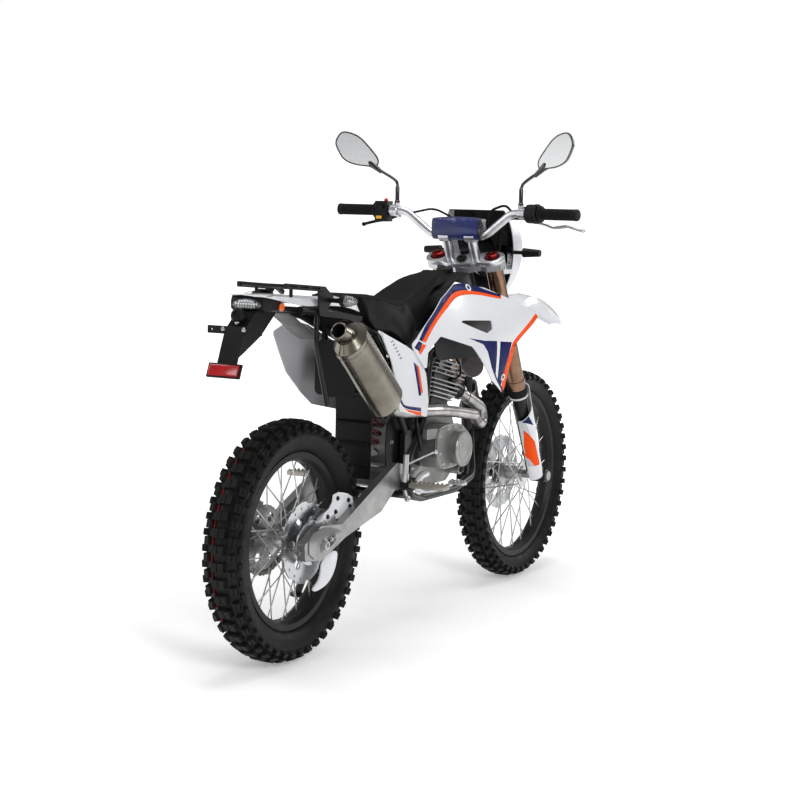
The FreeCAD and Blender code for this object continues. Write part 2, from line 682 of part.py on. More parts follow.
def channel(stations, wall):
    """A blade like a mudguard: an arched section carried along the bike."""
    sections = []
    for x, top, half, drop in stations:
        outer = [(-half, top - drop), (-half * 0.82, top - drop * 0.3), (0, top),
                 (half * 0.82, top - drop * 0.3), (half, top - drop)]
        inner = [(half - wall, top - drop), (half * 0.82 - wall, top - drop * 0.3 - wall),
                 (0, top - wall), (-half * 0.82 + wall, top - drop * 0.3 - wall),
                 (-half + wall, top - drop)]
        corners = [Vector(x, y, z) for y, z in outer + inner]
        sections.append(Part.makePolygon(corners + corners[:1]))
    return loft(sections)


def front_fender():
    under_clamp = steered(0, 0, size("lower_clamp_low") - 3 * size("seat_gap"))
    slope = math.tan(math.radians(size("rake")))
    stations = []
    for x, half in ((1135, 46), (1180, 58)):
        stations.append((x, under_clamp.z + (x - under_clamp.x) * slope, half, 16))
    stations += [(1300, 918, 66, 26), (1411, 953, 68, 30), (1531, 936, 64, 30),
                 (1660, 889, 50, 24), (1754, 841, 26, 10)]
    keep("front_fender", channel(stations, size("panel_wall")))


def front_indicators():
    mask = [piece.Shape for piece in PIECES if piece.Label == "headlight_mask"][0]
    stalk = rod(Vector(1152, 108, 1098), Vector(1152, 150, 1098), 6)
    lens = rod(Vector(1152, 148, 1098), Vector(1152, 205, 1098), 15, 11)
    keep("front_indicators", both_sides(largest(fused([stalk, lens]).cut(mask))))


def caliper(axle, side, angle, radius, seat_low, seat_high):
    """A caliper over the disc's rim, with a bracket to what carries it."""
    grip = slab([(radius - 40, -32), (radius + 16, -30), (radius + 16, 30), (radius - 40, 32)], 8,
                side - 17, side + 17)
    slot = rod(Vector(0, side - 4, 0), Vector(0, side + 4, 0), radius + 4)
    bracket = slab([(radius - 36, -22), (radius + 10, -20), (radius + 10, 20), (radius - 36, 22)], 8,
                   seat_low, seat_high)
    body = fused([grip.cut(slot), bracket])
    body.rotate(Vector(0, 0, 0), Vector(0, 1, 0), -angle)
    body.translate(axle)
    return body


# Frame and running gear

def points(*places):
    return [Vector(*place) for place in places]


def frame():
    """Head tube, two main tubes to the pivot plates, down tube, cradle and stand lug."""
    wide, tube = size("frame_half_width"), size("frame_tube")
    head_tube = rod(head(size("head_low")), head(size("head_high")), size("head_radius"))
    stem_hole = rod(head(size("head_low") - 5), head(size("head_high") + 5),
                    size("stem_radius") + size("pin_clearance"))
    main_tube = bent_tube([steered(-16, 20, 690)] + points(
        (930, 80, 903), (800, wide, 848), (632, wide, 800), (600, wide, 604), (510, wide, 512),
        (505, wide, 415)), tube, 60)
    cradle = bent_tube(points((1084, 10, 530), (1005, 60, 396), (860, 72, 372), (640, 72, 372),
                              (530, wide, 395), (505, wide, 450)), tube - 1, 60)
    plate = slab([(482, 395), (535, 395), (546, 480), (526, 590), (488, 590)], 12, wide - 11, wide + 4)
    down_tube = rod(steered(-24, 0, 690), Vector(1082, 0, 508), size("down_tube"))
    cross = rod(Vector(625, -wide, 776), Vector(625, wide, 776), 11)
    lower_cross = rod(Vector(530, -wide, 395), Vector(530, wide, 395), 11)
    lug = slab([(534, 752), (586, 752), (632, 762), (634, 788), (534, 784)], 10, 14, 20)
    tubes = []
    for half in (main_tube, cradle, plate, lug):
        tubes += [half, mirrored(half)]
    whole = fused(tubes + [head_tube, down_tube, cross, lower_cross])
    hole = rod(pivot + Vector(0, -200, 0), pivot + Vector(0, 200, 0), 8 + size("seat_gap"))
    return whole.cut(stem_hole).cut(hole)


def rail_tube(radius):
    return bent_tube(points((620, 84.3, 778), (188, 80, 931), (20, 78, 957), (-70, 76, 962)), radius, 200)


def subframe():
    rail = rail_tube(size("subframe_tube"))
    strut = bent_tube(points((318, 80, 886), (345, 92, 836), (446, 92, 654), (498, 92, 582)), 9, 60)
    pieces = []
    for half in (rail, strut):
        pieces += [half, mirrored(half)]
    pieces.append(rod(Vector(20, -78, 957), Vector(20, 78, 957), 8))
    pieces.append(bent_tube(points((14, -78, 957), (2, -84, 870), (66, -84, 700)), 7, 60))
    pieces.append(rod(Vector(318, -80, 884), Vector(318, 80, 884), 8))
    for x, z in ((400, 737), (430, 683)):
        reach = inner_face(panel_right, x, z) + 4 * size("seat_gap")
        post = rod(Vector(x, -90, z), Vector(x, reach, z), 7)
        pieces += [post, mirrored(post)]
    return fused(pieces)


def swingarm():
    """Two tapering beams, a yoke in front of the tyre, pivot lugs and the shock's clevis."""
    inner, outer = size("beam_side") - size("beam_width") / 2, size("beam_side") + size("beam_width") / 2
    beam = slab([(-88, 298), (-92, 345), (-10, 383), (102, 373), (406, 508), (444, 500), (444, 462),
                 (319, 379), (120, 334), (0, 290)], 10, inner, outer)
    lug = slab([(392, 432), (440, 430), (522, 452), (524, 488), (440, 487), (392, 486)], 14, 38, 60)
    clevis = slab([(388, 470), (425, 470), (418, 522), (394, 522)], 8, 16, 22)
    pieces = []
    for half in (beam, lug, clevis):
        pieces += [half, mirrored(half)]
    pieces.append(slab([(388, 432), (440, 430), (440, 487), (388, 484)], 10, -outer, outer))
    pieces.append(rod(pivot + Vector(0, -62, 0), pivot + Vector(0, 62, 0), size("pivot_radius")))
    whole = fused(pieces)
    axle_hole = rod(rear_axle + Vector(0, -200, 0), rear_axle + Vector(0, 200, 0),
                    size("axle_radius") + size("seat_gap"))
    pivot_hole = rod(pivot + Vector(0, -200, 0), pivot + Vector(0, 200, 0), 8 + size("seat_gap"))
    return whole.cut(axle_hole).cut(pivot_hole)


SHOCK_TOP = Vector(552, 0, 768)
SHOCK_FOOT = Vector(406, 0, 506)


def shock():
    """A damper with spring seats between its two eyes, and the coil spring round it."""
    run = (SHOCK_FOOT - SHOCK_TOP)
    along = Vector(run).normalize()
    neck = rod(SHOCK_TOP + along * 8, SHOCK_TOP + along * 36, 11)
    body = rod(SHOCK_TOP + along * 35, SHOCK_TOP + along * 150, 20)
    shaft = rod(SHOCK_TOP + along * 140, SHOCK_FOOT - along * 10, 8)
    top_seat = rod(SHOCK_TOP + along * 32, SHOCK_TOP + along * 38, size("spring_radius") + 5)
    low_seat = rod(SHOCK_FOOT - along * 38, SHOCK_FOOT - along * 30, size("spring_radius") + 5)
    eyes = [rod(eye + Vector(0, -13.5, 0), eye + Vector(0, 13.5, 0), 13)
            for eye in (SHOCK_TOP, SHOCK_FOOT)]
    keep("shock_absorber", fused([neck, body, shaft, top_seat, low_seat] + eyes))

    wire, radius = size("spring_wire"), size("spring_radius") - 3
    length = run.Length - 76 - 2 * wire - 0.6
    turns, sides, parts = size("spring_turns"), 6, 12
    rings = []
    for step in range(int(turns * parts) + 1):
        angle = 2 * math.pi * step / parts
        middle = Vector(radius * math.cos(angle), radius * math.sin(angle),
                        length * step / (turns * parts))
        ring = []
        for side in range(sides):
            turn_angle = 2 * math.pi * side / sides
            ring.append(middle + Vector(math.cos(angle), math.sin(angle), 0) * (wire * math.cos(turn_angle))
                        + Vector(0, 0, wire * math.sin(turn_angle)))
        rings.append(ring)
    faces = [Part.Face(Part.makePolygon(ring + ring[:1])) for ring in (rings[0], rings[-1])]
    for ring, after in zip(rings, rings[1:]):
        for side in range(sides):
            other = (side + 1) % sides
            for corners in ([ring[side], ring[other], after[other]], [ring[side], after[other], after[side]]):
                faces.append(Part.Face(Part.makePolygon(corners + corners[:1])))
    shell = Part.Compound(faces)
    shell.sewShape()
    coil = Part.makeSolid(shell.Shells[0])
    if coil.Volume < 0:
        coil.reverse()
    base = SHOCK_FOOT - along * (38 + wire * math.sin(math.radians(60)) + 0.3)
    keep("shock_spring", coil, Placement(base, Rotation(Vector(0, 0, 1), along * -1)))


def drive_chain():
    """Two rows of link plates round both sprockets, joined by rollers outside the teeth."""
    big, small = size("rear_sprocket_radius"), size("front_sprocket_radius")
    front = Vector(560, 0, 500)
    run = front - rear_axle
    heading = math.atan2(run.z, run.x)
    lean = math.acos((big - small) / run.Length)
    half = size("chain_height") / 2

    def loop(offset):
        around = []
        steps = 16
        for index in range(steps + 1):
            angle = heading + lean + (2 * math.pi - 2 * lean) * index / steps
            around.append(rear_axle + Vector(math.cos(angle), 0, math.sin(angle)) * (big + offset))
        steps = 8
        for index in range(steps + 1):
            angle = heading - lean + 2 * lean * index / steps
            around.append(front + Vector(math.cos(angle), 0, math.sin(angle)) * (small + offset))
        return around

    def band(low, high):
        outer, inner = loop(half), loop(-half)
        shift = Vector(0, low, 0)
        outer = [point + shift for point in outer]
        inner = [point + shift for point in inner]
        thick = Vector(0, high - low, 0)
        disc = Part.Face(Part.makePolygon(outer + outer[:1])).extrude(thick)
        return disc.cut(Part.Face(Part.makePolygon(inner + inner[:1])).extrude(thick))

    side, gap, plate = size("chain_side"), size("chain_gap") / 2, size("chain_plate")
    bands = [band(side - gap - plate, side - gap), band(side + gap, side + gap + plate)]
    track = loop(0)
    rollers = []
    for start, end in ((track[16], track[17]), (track[25], track[0])):
        count = 24
        along = (end - start).normalize()
        span = (end - start).Length
        for index in range(count):
            middle = start + (end - start) * ((index + 0.5) / count)
            rollers.append(roller(middle, side, gap))
    for index in range(2, 15, 2):
        rollers.append(roller(track[index], side, gap))
    keep("drive_chain", fused(bands + rollers))


def roller(middle, side, gap):
    """A chain roller as a four-sided bar between the link plates."""
    corners = [middle + Vector(4.0, side - gap, 0), middle + Vector(0, side - gap, 4.0),
               middle + Vector(-4.0, side - gap, 0), middle + Vector(0, side - gap, -4.0)]
    return Part.Face(Part.makePolygon(corners + corners[:1])).extrude(Vector(0, 2 * gap, 0))


# Engine and exhaust

CYLINDER = Placement(Vector(790, 0, 628), Rotation(Vector(0, 1, 0), 12))


def engine():
    half = size("case_half_width")
    case = slab([(548, 455), (578, 402), (820, 402), (880, 445), (880, 548), (826, 638), (650, 648),
                 (562, 600), (546, 530)], 24, -half, half)
    clutch = slab([(630, 500), (655, 462), (780, 462), (846, 490), (846, 548), (790, 584), (700, 588),
                   (634, 576)], 24, -128, -half)
    clutch_cap = rod(Vector(764, -152, 515), Vector(764, -127, 515), 50)
    block = slab([(572, 557), (640, 557), (640, 584), (572, 588)], 4, -124, -110)
    rotor = rod(Vector(745, half, 525), Vector(745, 105, 525), 66)
    rotor_cap = rod(Vector(745, 100, 525), Vector(745, 112, 525), 48)
    cover = fused([slab([(552, 458), (655, 458), (655, 548), (552, 548)], 20, 80, 92),
                   box((604, half, 465), (650, 85, 540))])
    keep("engine_cases", fused([case, clutch, clutch_cap, block, rotor, rotor_cap, cover]))

    core = box((-50, -44, -10), (60, 44, 112))
    head_block = box((-62, -48, 106), (78, 48, 152))
    pieces = [core, head_block]
    wide, thick = size("cylinder_half_width"), size("fin_thickness")
    reaches = [67, 80, 95, 108, 116, 134, 140, 118, 88]
    for index, ahead in enumerate(reaches):
        low = 28 + index * size("fin_pitch") + (8 if index > 4 else 0)
        corners = [Vector(-90, -wide, low), Vector(ahead, -wide, low),
                   Vector(ahead, wide, low), Vector(-90, wide, low)]
        pieces.append(Part.Face(path_wire(corners, 16, closed=True)).extrude(Vector(0, 0, thick)))
    cylinder = fused(pieces)
    cylinder.Placement = CYLINDER
    cylinder = largest(cylinder.cut(case))
    keep("engine_cylinder", cylinder)

    bowl = rod(Vector(628, 0, 668), Vector(628, 0, 700), 22)
    throat = rod(Vector(586, 0, 722), Vector(726, 0, 722), 20)
    block = box((606, -26, 696), (650, 26, 752))
    keep("carburettor", largest(fused([bowl, throat, block]).cut(cylinder)))

    horn_middle, tube_middle = Vector(988, -62, 742), Vector(1062.5, 0, 742)
    facing = Vector(-0.78, -0.62, 0).normalize()
    reach = (tube_middle - horn_middle).normalize()
    keep("horn", fused([rod(horn_middle - facing * 12, horn_middle + facing * 8, 36, 31),
                        rod(horn_middle, tube_middle - reach * (size("down_tube") + 0.6), 6)]))

    main = loft([cross_section(x, 66, 66, low, high, 16) for x, low, high in
                 ((245, 706, 862), (320, 700, 842), (392, 690, 822))])
    duct = box((385, 44, 690), (584, 66, 750))
    mouth = box((572, -24, 690), (585.7, 66, 750))
    return fused([main, duct, mouth]), cylinder


def exhaust(cylinder):
    """The header pipe, swept round the cylinder and back along the right side."""
    route = points((880, -34, 692), (963, -50, 650), (1060, -60, 606), (1062, -64, 552),
                   (1005, -72, 572), (930, -98, 598), (788, -108, 620), (640, -125.3, 638),
                   (585, -125.3, 642), (520, -123.8, 646),
                   (430, -123.8, 652), (372, -123.8, 662), (335, -131, 675), (305, -140, 686))
    pipe = bent_tube(route, size("header_radius"), 26)
    sleeve = rod(Vector(966, -50.3, 648.7), Vector(1040, -57.9, 614.9), size("header_radius") + 2)
    flange = rod(Vector(926, -42.9, 668.7), Vector(934, -44.4, 664.7), 26)
    whole = fused([pipe, sleeve, flange]).cut(cylinder)
    return largest(whole)


MUFFLER_FRONT = Vector(304, -141, 688)
MUFFLER_REAR = Vector(75, -141, 889)


def muffler(header):
    """An oval silencer with a coned front and an end cap round its outlet."""
    run = MUFFLER_REAR - MUFFLER_FRONT
    turn_to = Placement(MUFFLER_FRONT, Rotation(Vector(0, 1, 0),
                                                math.degrees(math.atan2(run.x, run.z))))

    def oval(level, high, wide):
        ring = Part.Ellipse(Vector(0, 0, level), high, wide)
        return Part.Wire(ring.toShape())

    length = run.Length
    can = loft([oval(18, 60, 46), oval(length - 12, 60, 46)], True)
    nose = loft([oval(-16, 26, 24), oval(18, 58, 44)], True)
    cap = loft([oval(length - 12, 58, 44), oval(length + 8, 36, 30)], True)
    whole = fused([can, nose, cap])
    whole.Placement = turn_to
    outlet = rod(Vector(82, -141, 885), Vector(22, -141, 908), 22)
    bore_out = rod(Vector(56, -141, 895), Vector(10, -141, 912.6), 19)
    whole = fused([whole, outlet.cut(bore_out)])
    return largest(whole.cut(header))


# Bodywork

def inner_face(panel, x, z):
    """How far a right-hand panel's inner face lies from the middle plane at a place."""
    probe = panel.common(Part.makeLine(Vector(x, 0, z), Vector(x, -400, z)))
    return probe.BoundBox.YMax


def shrouds():
    rows = (640, 760, 880, 1030)
    stations = [(440, (140, 138, 124, 96)), (560, (150, 143, 124, 96)), (700, (165, 158, 142, 90)),
                (850, (165, 168, 162, 97)), (950, (158, 180, 195, 132)), (1080, (146, 189, 255, 163))]
    columns = [[(x, -half, z) for half, z in zip(halves, rows)] for x, halves in stations]
    corners = [(780, 1014), (660, 968), (502, 860), (462, 842), (532, 764), (549, 819), (620, 860),
               (786, 821), (829, 785), (902, 712), (1004, 662), (992, 818), (1060, 908), (996, 951),
               (903, 994)]
    vent = slab([(731, 899), (759, 901), (889, 896), (890, 870), (866, 858)], 5, -400, -10)
    return largest(skin_panel(corners, 9, columns, size("panel_wall")).cut(vent))


def side_panels():
    rows = (600, 700, 800, 930)
    stations = [(60, (143, 138, 128, 104)), (250, (148, 140, 128, 106)),
                (400, (150, 144, 128, 108)), (560, (150, 142, 126, 106))]
    columns = [[(x, -half, z) for half, z in zip(halves, rows)] for x, halves in stations]
    top = [(538, 757), (505, 812), (437, 842), (277, 898)]
    right = skin_panel(top + [(304, 875), (340, 808), (360, 723), (360, 662), (520, 632), (536, 678)],
                       9, columns, size("panel_wall"))
    left = skin_panel(top + [(179, 918), (92, 888), (195, 767), (287, 703), (360, 662), (520, 632),
                             (536, 678)], 9, columns, size("panel_wall"))
    return right, mirrored(left)


def seat():
    stations = [(237, 112, 84, 929, 991), (377, 110, 84, 880, 979), (437, 108, 82, 859, 967),
                (517, 100, 78, 834, 960), (613, 92, 72, 938, 991), (736, 78, 56, 1000, 1027),
                (839, 52, 36, 1037, 1048)]
    cushion = loft([cross_section(x, low_half, high_half, low, high, 4) for x, low_half, high_half,
                    low, high in stations])
    room = rail_tube(size("subframe_tube") + 2 * size("seat_gap"))
    return largest(cushion.cut(room).cut(mirrored(room)))


def tank():
    stations = [(620, 50, 40, 866, 925), (740, 92, 60, 870, 990), (850, 112, 72, 892, 1024),
                (920, 108, 72, 922, 1038), (944, 92, 62, 934, 1030)]
    body = loft([cross_section(x, low_half, high_half, low, high, 12) for x, low_half, high_half,
                 low, high in stations])
    cap = rod(Vector(900, 0, 1030), Vector(896, 0, 1050), 26)
    side = slab([(622, 866), (636, 806), (660, 785), (922, 779), (962, 822), (944, 900), (850, 916)], 8,
                -113, -109.5)
    pieces = [body, cap, side, mirrored(side)]
    for x, z in ((700, 930), (885, 960)):
        reach = inner_face(shroud, x, z)
        post = rod(Vector(x, -60, z), Vector(x, reach - 2, z), 8)
        post = largest(post.cut(shroud.translated(Vector(0, size("seat_gap"), 0))))
        pieces += [post, mirrored(post)]
    return fused(pieces)


def rear_fender():
    stations = [(231, 986, 84, 40), (120, 990, 82, 24), (20, 996, 80, 26), (-60, 1001, 74, 26),
                (-160, 1006, 60, 14), (-232, 1008, 40, 6)]
    return channel(stations, size("panel_wall"))


def rack():
    """Two slotted side rails, bars between them, and stepped plates down to the subframe."""
    tube, wide = size("rack_tube"), size("rack_half_width")
    rail = slab([(-137, 1035), (56, 1021), (84, 1002), (78, 992), (50, 1007), (-137, 1020)], 3,
                wide - 7, wide + 3)
    for x, z in ((-108, 1025.7), (-50, 1021.5), (8, 1017.3)):
        rail = rail.cut(slab([(x - 20, z + 4.5), (x + 20, z + 1.5), (x + 20, z - 3.5), (x - 20, z - 0.5)], 2,
                             0, 200))
    plate = slab([(-10, 1010), (58, 1006), (68, 990), (34, 958), (226, 934), (222, 922), (4, 945),
                  (-8, 975)], 4, 93, 97)
    boss = rod(Vector(210, 91.6, 927), Vector(210, 94, 927), tube - 1)
    link = rod(Vector(30, wide, 1003), Vector(30, 95, 1003), tube)
    foot = rod(Vector(30, wide - 2, 1003), Vector(30, wide - 2, 1014), tube - 2)
    post = rod(Vector(-80, 54, 1024), Vector(-80, 54, 996.4), tube - 1)
    pieces = []
    for half in (rail, plate, boss, link, foot, post):
        pieces += [half, mirrored(half)]
    for x, z in ((-130, 1027.5), (-79, 1023.8), (-22, 1019.6), (36, 1014.5)):
        pieces.append(rod(Vector(x, 2 - wide, z), Vector(x, wide - 2, z), tube - 1))
    return fused(pieces)


def tail():
    lamp = slab([(-205, 972), (-205, 998), (-165, 998), (-165, 972)], 8, -48, 48)
    keep("tail_lamp", lamp)
    bend, end = Vector(-262, 0, 915), Vector(-308, 0, 800)
    gusset = slab([(-112, 956), (-205, 964), (bend.x, bend.z), (-290, 846), (-264, 858), (-184, 898)], 3,
                  27, 30)
    bracket = fused([strip([(-150, 966), (-205, 964), (bend.x, bend.z), (end.x, end.z)], 3, 30, 20),
                     gusset, mirrored(gusset), rod(Vector(-226, 0, 938), Vector(-243, 0, 955), 11),
                     box((-264, -82, 905), (-258, 82, 925)),
                     box((-164.7, -18, 964), (-157, 18, 1000.4))])
    for y in (-70, 70):
        bracket = bracket.cut(rod(Vector(-280, y, 915), Vector(-240, y, 915), size("plate_hole")))
    keep("plate_bracket", bracket)
    down = (end - bend).normalize()
    out = Vector(down.z, 0, -down.x)
    low, high = end + down * 4, end - down * 32
    corners = [low + out * 0.3, high + out * 0.3, high + out * 7, low + out * 7]
    keep("rear_reflector", slab([(corner.x, corner.z) for corner in corners], 1, -49, 49))
    stalk = rod(Vector(50, 97.2, 985), Vector(50, 130, 985), 6)
    lens = rod(Vector(50, 128, 985), Vector(50, 178, 985), 15, 11)
    keep("rear_indicators", both_sides(largest(fused([stalk, lens]).cut(rack_shape))))


def controls():
    """Footpegs, brake pedal and shift lever with their brackets."""
    peg = fused([slab([(500, 428), (518, 428), (518, 452), (500, 452)], 4, 106.3, 131),
                 slab([(418, 430), (518, 430), (518, 450), (418, 450)], 6, 122, 131),
                 slab([(412, 436), (448, 436), (448, 449), (412, 449)], 3, 128, 215)])
    keep("footpegs", both_sides(peg))
    pedal = bent_tube(points((470, -141, 438), (520, -142, 420), (560, -158, 425), (590, -175, 445)), 6, 20)
    toe = box((575, -200, 440), (600, -168, 450))
    keep("brake_pedal", fused([pedal, toe, rod(Vector(470, -131.3, 438), Vector(470, -148, 438), 10)]))
    shift = bent_tube(points((640, 118, 455), (560, 130, 430), (470, 145, 440)), 6, 20)
    keep("shift_lever", fused([shift, rod(Vector(640, 92.3, 470), Vector(640, 124, 470), 8),
                               rod(Vector(470, 145, 440), Vector(470, 180, 440), 8)]))


STAND_ROOT = Vector(478, 128, 398)
STAND_DOWN = Vector(95, 182, -343).normalize()
STAND_BACK = Vector(-0.97, 0.20, 0.12).normalize()


def ground_depth():
    """How far the leaned ground plane lies from the bike's own origin, along its normal."""
    lean = math.radians(size("lean"))
    normal = Vector(0, -math.sin(lean), math.cos(lean))
    lowest = 1e9
    for piece in PIECES:
        if piece.Label.endswith("tyre"):
            for vertex in piece.Shape.Vertexes:
                lowest = min(lowest, vertex.Point.dot(normal))
    return normal, lowest


def side_stand():
    normal, depth = ground_depth()
    reach = (depth + 5 - STAND_ROOT.dot(normal)) / STAND_DOWN.dot(normal)
    foot = STAND_ROOT + STAND_DOWN * reach
    axis = STAND_DOWN.cross(STAND_BACK).normalize()
    leg = rod(STAND_ROOT, foot, size("stand_radius"))
    pad = Part.makeCylinder(24, 6, foot - normal * 5, normal)
    eye = rod(STAND_ROOT - axis * 9, STAND_ROOT + axis * 9, 17)
    hole = rod(STAND_ROOT - axis * 30, STAND_ROOT + axis * 30, 7 + size("pin_clearance"))
    stand = fused([leg, pad, eye]).cut(hole)
    ground_cut = Part.makeCylinder(200, 60, foot - normal * 65, normal)
    keep("side_stand", stand.cut(ground_cut))
    pin = rod(STAND_ROOT - axis * 26, STAND_ROOT + axis * 14, 7)
    lug_plate = rod(STAND_ROOT - axis * 26, STAND_ROOT - axis * 14.5, 18)
    web = rod(STAND_ROOT - axis * 22, Vector(500, 92, 414), 8)
    print("stand axis", list(axis), "root", list(STAND_ROOT), "range",
          math.degrees(STAND_DOWN.getAngle(STAND_BACK)))
    return fused([pin, lug_plate, web])


# Everything together

wheel_shapes()
brake_disc("rear_disc", "rear_disc_radius", "-sizes.rear_disc_side", rear_axle)
brake_disc("front_disc", "front_disc_radius", "sizes.front_disc_side", front_axle)
sprocket("rear_sprocket", "rear_sprocket_radius", "sizes.chain_side", rear_axle)
clamp("lower_clamp", "lower_clamp_low", "lower_clamp_height", 36,
      "sizes.upper_clamp_low + sizes.upper_clamp_height + 4 - sizes.lower_clamp_low")
clamp("upper_clamp", "upper_clamp_low", "upper_clamp_height", 34)
fork()
axle_with_spacers("front_axle", front_axle, -size("front_hub_right"), size("front_hub_left"),
                  size("fork_half_width") - size("leg_foot"),
                  size("fork_half_width") + size("leg_foot") + size("seat_gap"))
handlebar()
control_cables()
bar_pad()
risers()
headlight()
front_fender()
front_indicators()
legs = [piece.Shape for piece in PIECES if piece.Label in ("fork_legs", "fork_guards")]
front_grip = caliper(front_axle, size("front_disc_side"), 140, size("front_disc_radius"), 60, 84)
keep("front_caliper", largest(front_grip.cut(legs[0]).cut(legs[1])))

axle_with_spacers("rear_axle", rear_axle, -size("rear_hub_right"), size("rear_hub_left"),
                  size("beam_side") - size("beam_width") / 2,
                  size("beam_side") + size("beam_width") / 2 + 1)
arm = swingarm()
keep("swingarm", arm)
shock()
drive_chain()
stand_lug = side_stand()
panel_right, panel_left = side_panels()
frame_shape = largest(fused([frame(), stand_lug]))
keep("frame_cradle", frame_shape)
sub_shape = largest(subframe().cut(frame_shape))
keep("subframe", sub_shape)
keep("pivot_bolt", fused([rod(pivot + Vector(0, -114, 0), pivot + Vector(0, 114, 0), 8)] + [
    rod(pivot + Vector(0, sign * 106.3, 0), pivot + Vector(0, sign * 114, 0), 13) for sign in (-1, 1)]))
airbox, cylinder = engine()
keep("airbox", largest(airbox.cut(sub_shape)))
header = exhaust(cylinder)
keep("exhaust_header", header)
muffler_shape = muffler(header)
keep("muffler", muffler_shape)
shroud = shrouds()
keep("shroud_right", shroud)
keep("shroud_left", mirrored(shroud))
keep("side_panel_right", panel_right)
keep("side_panel_left", panel_left)
keep("seat", largest(seat().cut(sub_shape)))
keep("fuel_tank", tank())
keep("rear_fender", rear_fender())
rack_shape = rack()
keep("luggage_rack", rack_shape)
tail()
controls()
keep("inner_mudguard", Part.Compound([
    strip([(350, 460), (357, 600), (352, 695.95)], 3, 58, 60),
    strip([(244.6, 722), (140, 762), (96, 870), (-20, 938)], 3, 60, 60)]))
keep("rear_caliper", Part.Compound([
    caliper(rear_axle, -size("rear_disc_side"), 25, size("rear_disc_radius"), -92.2, -70),
    fused([rod(Vector(430, -131, 450.3), Vector(434, -131, 530), 8.5),
           rod(Vector(430, -131, 452), Vector(431, -131, 474), 11)])]))


# The bike leans on its stand, and its origin is the middle of its footprint on the ground

def leaned():
    turn_over = Rotation(Vector(1, 0, 0), -size("lean"))
    for piece in PIECES:
        piece.Placement = Placement(Vector(0, 0, 0), turn_over).multiply(piece.Placement)
    bounds = FreeCAD.BoundBox()
    for piece in PIECES:
        bounds.add(piece.Shape.optimalBoundingBox(False))
    shift = Vector(-(bounds.XMin + bounds.XMax) / 2, -(bounds.YMin + bounds.YMax) / 2, -bounds.ZMin)
    for piece in PIECES:
        piece.Placement = Placement(shift, Rotation()).multiply(piece.Placement)
    print("shift", list(shift), "size", bounds.XLength, bounds.YLength, bounds.ZLength)


leaned()
doc.recompute()
failed = [item.Label for item in doc.Objects if "Invalid" in item.State or "Error" in item.State]
if failed:
    raise RuntimeError("not built: %s" % failed)
os.makedirs("parts", exist_ok=True)
for piece in PIECES:
    if piece.Shape.isNull() or not piece.Shape.isValid():
        raise RuntimeError("bad shape: %s" % piece.Label)
    piece.Shape.exportStep("parts/%s.step" % piece.Label)
print(len(PIECES), "sub-parts")
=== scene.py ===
# %% [markdown]
# # A dual sport motorcycle, dressed on its CAD frame
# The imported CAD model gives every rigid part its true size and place. This lesson adds what a CAD
# solid leaves out: knobbly tread, padded seat, printed stripes, bolts, cables, lenses and finishes.
# Everything is in metres, and each new piece rides on the body that carries it.

# %% Load the frame
import json
import math

import bmesh
import bpy
from mathutils import Matrix, Vector


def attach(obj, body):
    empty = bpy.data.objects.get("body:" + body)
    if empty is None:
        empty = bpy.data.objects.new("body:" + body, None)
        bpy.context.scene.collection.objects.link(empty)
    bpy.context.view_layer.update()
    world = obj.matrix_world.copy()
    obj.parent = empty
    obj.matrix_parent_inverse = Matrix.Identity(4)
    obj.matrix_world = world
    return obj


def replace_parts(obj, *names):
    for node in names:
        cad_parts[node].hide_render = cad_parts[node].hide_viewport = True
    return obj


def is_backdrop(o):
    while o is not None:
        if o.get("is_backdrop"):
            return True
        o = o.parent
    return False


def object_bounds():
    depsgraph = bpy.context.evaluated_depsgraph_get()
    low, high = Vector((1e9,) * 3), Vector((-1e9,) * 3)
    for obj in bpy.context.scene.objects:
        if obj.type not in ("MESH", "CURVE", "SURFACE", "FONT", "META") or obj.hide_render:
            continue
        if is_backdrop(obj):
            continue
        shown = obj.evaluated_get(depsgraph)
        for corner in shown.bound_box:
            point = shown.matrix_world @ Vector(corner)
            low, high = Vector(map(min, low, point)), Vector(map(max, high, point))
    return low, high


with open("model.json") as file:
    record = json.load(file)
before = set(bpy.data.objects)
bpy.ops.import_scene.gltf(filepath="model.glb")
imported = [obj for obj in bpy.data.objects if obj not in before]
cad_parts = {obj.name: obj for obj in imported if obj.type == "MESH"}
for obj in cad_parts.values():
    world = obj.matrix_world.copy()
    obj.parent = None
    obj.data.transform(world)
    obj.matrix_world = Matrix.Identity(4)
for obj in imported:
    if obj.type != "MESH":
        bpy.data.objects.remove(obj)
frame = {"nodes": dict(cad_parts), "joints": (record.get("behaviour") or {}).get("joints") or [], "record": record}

nodes = frame["nodes"]
cad_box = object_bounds()
print("loaded", len(nodes), "nodes")

# %% [markdown]
# ## Upright coordinates
# The motorcycle leans on its side stand, which makes every place awkward to write down. The rear
# axle's joint tells how far it leans, so one matrix carries a point of the upright motorcycle
# (X forward, Y left, Z up, from the ground under the rear axle) into the scene. Each piece is
# modelled upright and leaned over at the end.

# %% The lean matrix
rear_joint = next(joint for joint in frame["joints"] if joint["name"] == "rear_wheel_spin")
across = Vector(rear_joint["axis"])
LEAN = math.atan2(-across.z, across.y)
REAR_RADIUS, FRONT_RADIUS, WHEELBASE = 0.3315, 0.3475, 1.440
REAR_AXLE = Vector((0, 0, REAR_RADIUS))
FRONT_AXLE = Vector((WHEELBASE, 0, FRONT_RADIUS))
tilt = Matrix.Rotation(-LEAN, 4, "X")
leaned = Matrix.Translation(Vector(rear_joint["pos_m"]) - tilt @ REAR_AXLE) @ tilt
upright = leaned.inverted()

